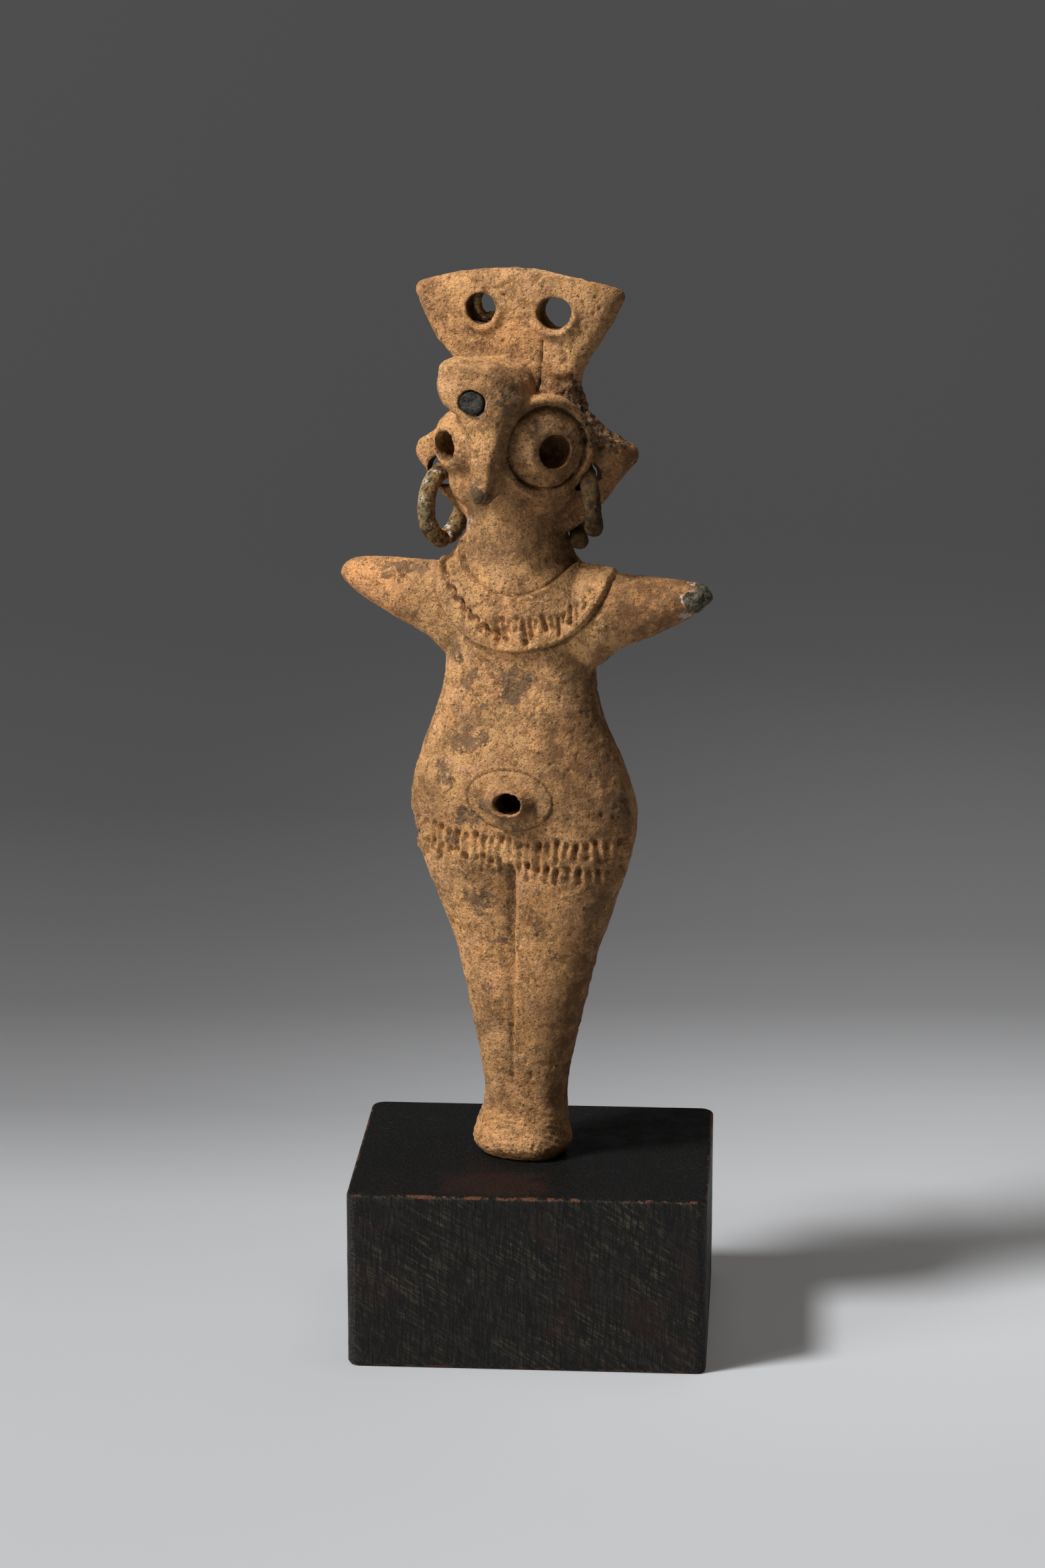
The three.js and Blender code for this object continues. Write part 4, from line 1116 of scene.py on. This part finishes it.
relief = f.bump(sand, 0.0007, 0.9, f.bump(f.noise(620, 6, 0.7), 0.0018, 0.85))
clay.data.materials.clear()
clay.data.materials.append(f.set(Base_Color=ground, Roughness=0.9, Normal=relief, Specular_IOR_Level=0.25))

# %% [markdown]
# Corroded bronze: brown under a crust that runs from yellow-green to nearly white on the high spots.
# The hoop on the figure's right is painted near black as painted shade.

# %% Bronze
f = Finish("corroded_bronze")
crusty = f.noise(700, 5, 0.7)
tone = f.mix(f.ramp(crusty, 0.35, 0.6), (0.05, 0.026, 0.011), (0.27, 0.155, 0.06))
tone = f.mix(f.ramp(f.noise(420, 3), 0.5, 0.62, 0.0, 0.6), tone, (0.25, 0.21, 0.11))
tone = f.mix(f.ramp(f.noise(380, 4, 0.7), 0.56, 0.64, 0.0, 0.85), tone, (0.60, 0.55, 0.44))
tone = f.mix(f.ramp(f.noise(1900, 2), 0.54, 0.64, 0.0, 0.85), tone, (0.03, 0.018, 0.01))
aside = f.add("ShaderNodeSeparateXYZ", Vector=f.place).outputs[0]
# Painted shade: the hoop on the figure's right, found by its place across, turns near black.
right_hoop_shade = f.mix(f.ramp(crusty, 0.4, 0.6), (0.022, 0.011, 0.004), (0.068, 0.038, 0.013))
tone = f.mix(f.ramp(aside, -0.002, 0.004, 0.0, 0.93), tone, right_hoop_shade)
relief = f.bump(f.noise(1900, 5, 0.7), 0.0005, 0.8)
dullness = f.ramp(crusty, 0.3, 0.7, 0.55, 0.85)
bronze = f.set(Base_Color=tone, Roughness=dullness, Normal=relief, Specular_IOR_Level=0.12)
for piece in earrings + [stub]:
    piece.data.materials.append(bronze)

# %% [markdown]
# The inlay is dark with a dull polish. Paler patches and fine pits break it up.

# %% Inlay finish
f = Finish("dark_inlay")
tone = f.mix(f.ramp(f.noise(900, 4, 0.7), 0.4, 0.65), (0.004, 0.0045, 0.004), (0.055, 0.05, 0.038))
relief = f.bump(f.noise(1600, 4, 0.7), 0.0006, 0.9)
inlay.data.materials.append(f.set(Base_Color=tone, Roughness=0.42, Normal=relief, Specular_IOR_Level=0.22))

# %% [markdown]
# Black-stained wood: near black with a dull sheen. Fine vertical grain and slanting saw scratches
# show on the front, and red-brown wood shows where the edges are rubbed. The top is dusty, with a
# red-brown patch in front of the foot that is a painted reflection of the clay figure.

# %% Wood
f = Finish("dark_wood")
upright = f.add("ShaderNodeMapping", Vector=f.place, Scale=(1.0, 1.0, 0.12)).outputs[0]
turned = f.add("ShaderNodeMapping", Vector=f.place, Rotation=(0.0, np.radians(-32.0), 0.0)).outputs[0]
slanting = f.add("ShaderNodeMapping", Vector=turned, Scale=(0.1, 1.0, 1.0)).outputs[0]
grain = f.noise(3000, 4, 0.6, vector=upright)
saw = f.noise(3000, 3, 0.6, vector=slanting)
tone = f.mix(f.ramp(grain, 0.42, 0.62), (0.0025, 0.0022, 0.0018), (0.013, 0.011, 0.008))
saw_marks = f.times(f.ramp(saw, 0.52, 0.60), f.ramp(f.noise(90, 4), 0.40, 0.60, 0.25, 1.0))
tone = f.mix(f.times(saw_marks, f.ramp(grain, 0.42, 0.58, 0.1, 1.0)), tone, (0.055, 0.045, 0.027))
tone = f.mix(f.ramp(saw, 0.44, 0.36, 0.0, 0.85), tone, (0.002, 0.0017, 0.0015))
tone = f.mix(f.ramp(f.noise(60, 4), 0.55, 0.70, 0.0, 0.6), tone, (0.022, 0.007, 0.005))

# %% The block's dusty top
place_x, place_y, place_z = f.add("ShaderNodeSeparateXYZ", Vector=f.place).outputs
# A painted reflection of the figure: a red-brown patch on the top in front of the foot.
REFLECTION_AT = -0.0055
upper = f.ramp(place_z, 0.0286, 0.0289)
beside = f.ramp(f.math("ABSOLUTE", f.math("SUBTRACT", place_x, REFLECTION_AT)), 0.0095, 0.007)
forward = f.times(f.ramp(place_y, -0.010, -0.013), f.ramp(place_y, -0.0215, -0.020))
reflection_patch = f.times(f.times(beside, forward), f.ramp(f.noise(300, 4), 0.35, 0.55, 0.3, 1.0))
streaks = f.ramp(f.noise(1500, 4, 0.7, vector=slanting), 0.56, 0.66, 0.0, 0.8)
dust = f.times(streaks, f.ramp(f.noise(120, 4), 0.45, 0.62))
deck_with_reflection = f.mix(reflection_patch, (0.003, 0.0026, 0.0024), (0.014, 0.005, 0.004))
tone = f.mix(upper, tone, f.mix(dust, deck_with_reflection, (0.022, 0.02, 0.017)))

# %% The block's rubbed edges
near_face = []
for socket, half, middle in zip((place_x, place_y, place_z), BLOCK / 2, (0.0, 0.0, BLOCK[2] / 2)):
    from_middle = f.math("ABSOLUTE", f.math("SUBTRACT", socket, float(middle)))
    near_face.append(f.ramp(from_middle, float(half - 0.0008), float(half - 0.0001)))
pairs = [f.times(near_face[a], near_face[b]) for a, b in ((0, 1), (1, 2), (0, 2))]
on_edge = f.math("MAXIMUM", pairs[0], f.math("MAXIMUM", pairs[1], pairs[2]))
rubbed = f.times(on_edge, f.ramp(f.noise(500, 4, 0.7), 0.42, 0.6))
tone = f.mix(f.ramp(rubbed, 0.2, 0.55, 0.0, 0.8), tone, (0.13, 0.045, 0.019))
relief = f.bump(grain, 0.0003, 0.7, f.bump(saw, 0.0006, 1.0))
dullness = f.ramp(f.noise(300, 4), 0.35, 0.65, 0.38, 0.6)
sheen = f.ramp(upper, 0.0, 1.0, 0.3, 0.16)
wood = f.set(Base_Color=tone, Roughness=dullness, Normal=relief, Specular_IOR_Level=sheen)
block.data.materials.append(wood)

# %% [markdown]
# ## Floor and light
#
# A sweep of paper: flat under the block and rising far behind it. Its tone is graded from pale to dark
# grey with depth, a painted falloff of the light, with one set of tones for its left and one for its
# right. One hard key light stands to the upper left in front. A weak soft light at the left, a weak
# wide light overhead and a faint warm world lift the shadows.

# %% Floor


def sweep_grid():
    """A floor that turns up far behind the block: straight, a quarter circle, then straight up."""
    turn = np.linspace(0.05, np.pi / 2, 24)
    run = np.concatenate([np.linspace(-3, 0.5, 30), 0.5 + 0.6 * np.sin(turn), np.full(10, 1.1)])
    rise = np.concatenate([np.zeros(30), 0.6 * (1 - np.cos(turn)), np.linspace(0.8, 4.0, 10)])
    across = np.linspace(-4, 4, 40)
    return np.stack(np.broadcast_arrays(across[None], run[:, None], rise[:, None]), -1)


grid = sweep_grid()
index = np.arange(grid.shape[0] * grid.shape[1]).reshape(grid.shape[:2])
quads = np.stack([index[:-1, :-1], index[:-1, 1:], index[1:, 1:], index[1:, :-1]], -1).reshape(-1, 4)
floor = make_object("floor", grid.reshape(-1, 3), quads.tolist())
f = Finish("paper")
place = f.add("ShaderNodeSeparateXYZ", Vector=f.place).outputs
depth = f.add("ShaderNodeMapRange", i0=f.math("ADD", place[1], place[2]), i1=-0.2, i2=1.4).outputs[0]


def painted_falloff(depth, stops):
    """Paper that goes through these grey tones with depth, as painted falloff of the light: pairs of
    depth share and tone.
    """
    node = f.add("ShaderNodeValToRGB", i0=depth)
    for k, (position, tone) in enumerate(stops):
        stop = node.color_ramp.elements[k] if k < 2 else node.color_ramp.elements.new(position)
        stop.position = position
        stop.color = (tone, tone * 1.02, tone * 1.06, 1.0)
    return node.outputs[0]


# The first two stops are the paper's two ends, and the others follow in order between them.
left_falloff_tones = [
    (0.07, 0.34), (1.0, 0.047), (0.12, 0.34), (0.156, 0.297), (0.1875, 0.159),
    (0.225, 0.087), (0.26, 0.067), (0.32, 0.045), (0.5, 0.044),
]
right_falloff_tones = [
    (0.08, 0.41), (1.0, 0.053), (0.125, 0.457), (0.1625, 0.427), (0.194, 0.333),
    (0.231, 0.159), (0.2625, 0.118), (0.33, 0.092), (0.41, 0.062), (0.5, 0.05),
]
# Painted falloff of the light: the paper darkens with depth, with its own tones left and right.
paper_and_painted_falloff = f.mix(f.ramp(place[0], -0.12, 0.10), painted_falloff(depth, left_falloff_tones), painted_falloff(depth, right_falloff_tones))
floor.data.materials.append(f.set(Base_Color=paper_and_painted_falloff, Roughness=0.9))

# %% Lights
KEY_AT, KEY_AIM = (-0.9, -0.45, 1.45), (0, -0.10, 0.05)
KEY_WATTS, KEY_WIDTH, KEY_CONE = 145.0, 0.155, np.radians(110.0)


def stand_light(data, at, aim):
    """Put a light at a place and turn it to face another."""
    made = bpy.data.objects.new(data.name, data)
    bpy.context.scene.collection.objects.link(made)
    made.location = at
    made.rotation_euler = (Vector(aim) - Vector(at)).to_track_quat("-Z", "Y").to_euler()


def area_light(name, at, aim, size, watts, colour):
    """A square light at a place, turned to face another."""
    data = bpy.data.lights.new(name, "AREA")
    data.color = colour
    data.size, data.energy = size, watts
    stand_light(data, at, aim)


key = bpy.data.lights.new("key", "SPOT")
key.energy, key.shadow_soft_size = KEY_WATTS, KEY_WIDTH
key.spot_size, key.spot_blend = KEY_CONE, 0.5
stand_light(key, KEY_AT, KEY_AIM)
area_light("soft", (-0.8, -0.5, 0.43), (0, 0, 0.08), 0.4, 4.6, (1.0, 0.98, 0.95))
area_light("overhead", (0.25, 0.15, 1.35), (0.05, 0, 0), 0.8, 4.8, (1.0, 0.96, 0.90))
world = bpy.data.worlds.new("studio")
world.use_nodes = True
world.node_tree.nodes["Background"].inputs["Color"].default_value = (1.0, 0.93, 0.83, 1.0)
world.node_tree.nodes["Background"].inputs["Strength"].default_value = 0.055
bpy.context.scene.world = world
bpy.context.scene.view_settings.view_transform = "Standard"
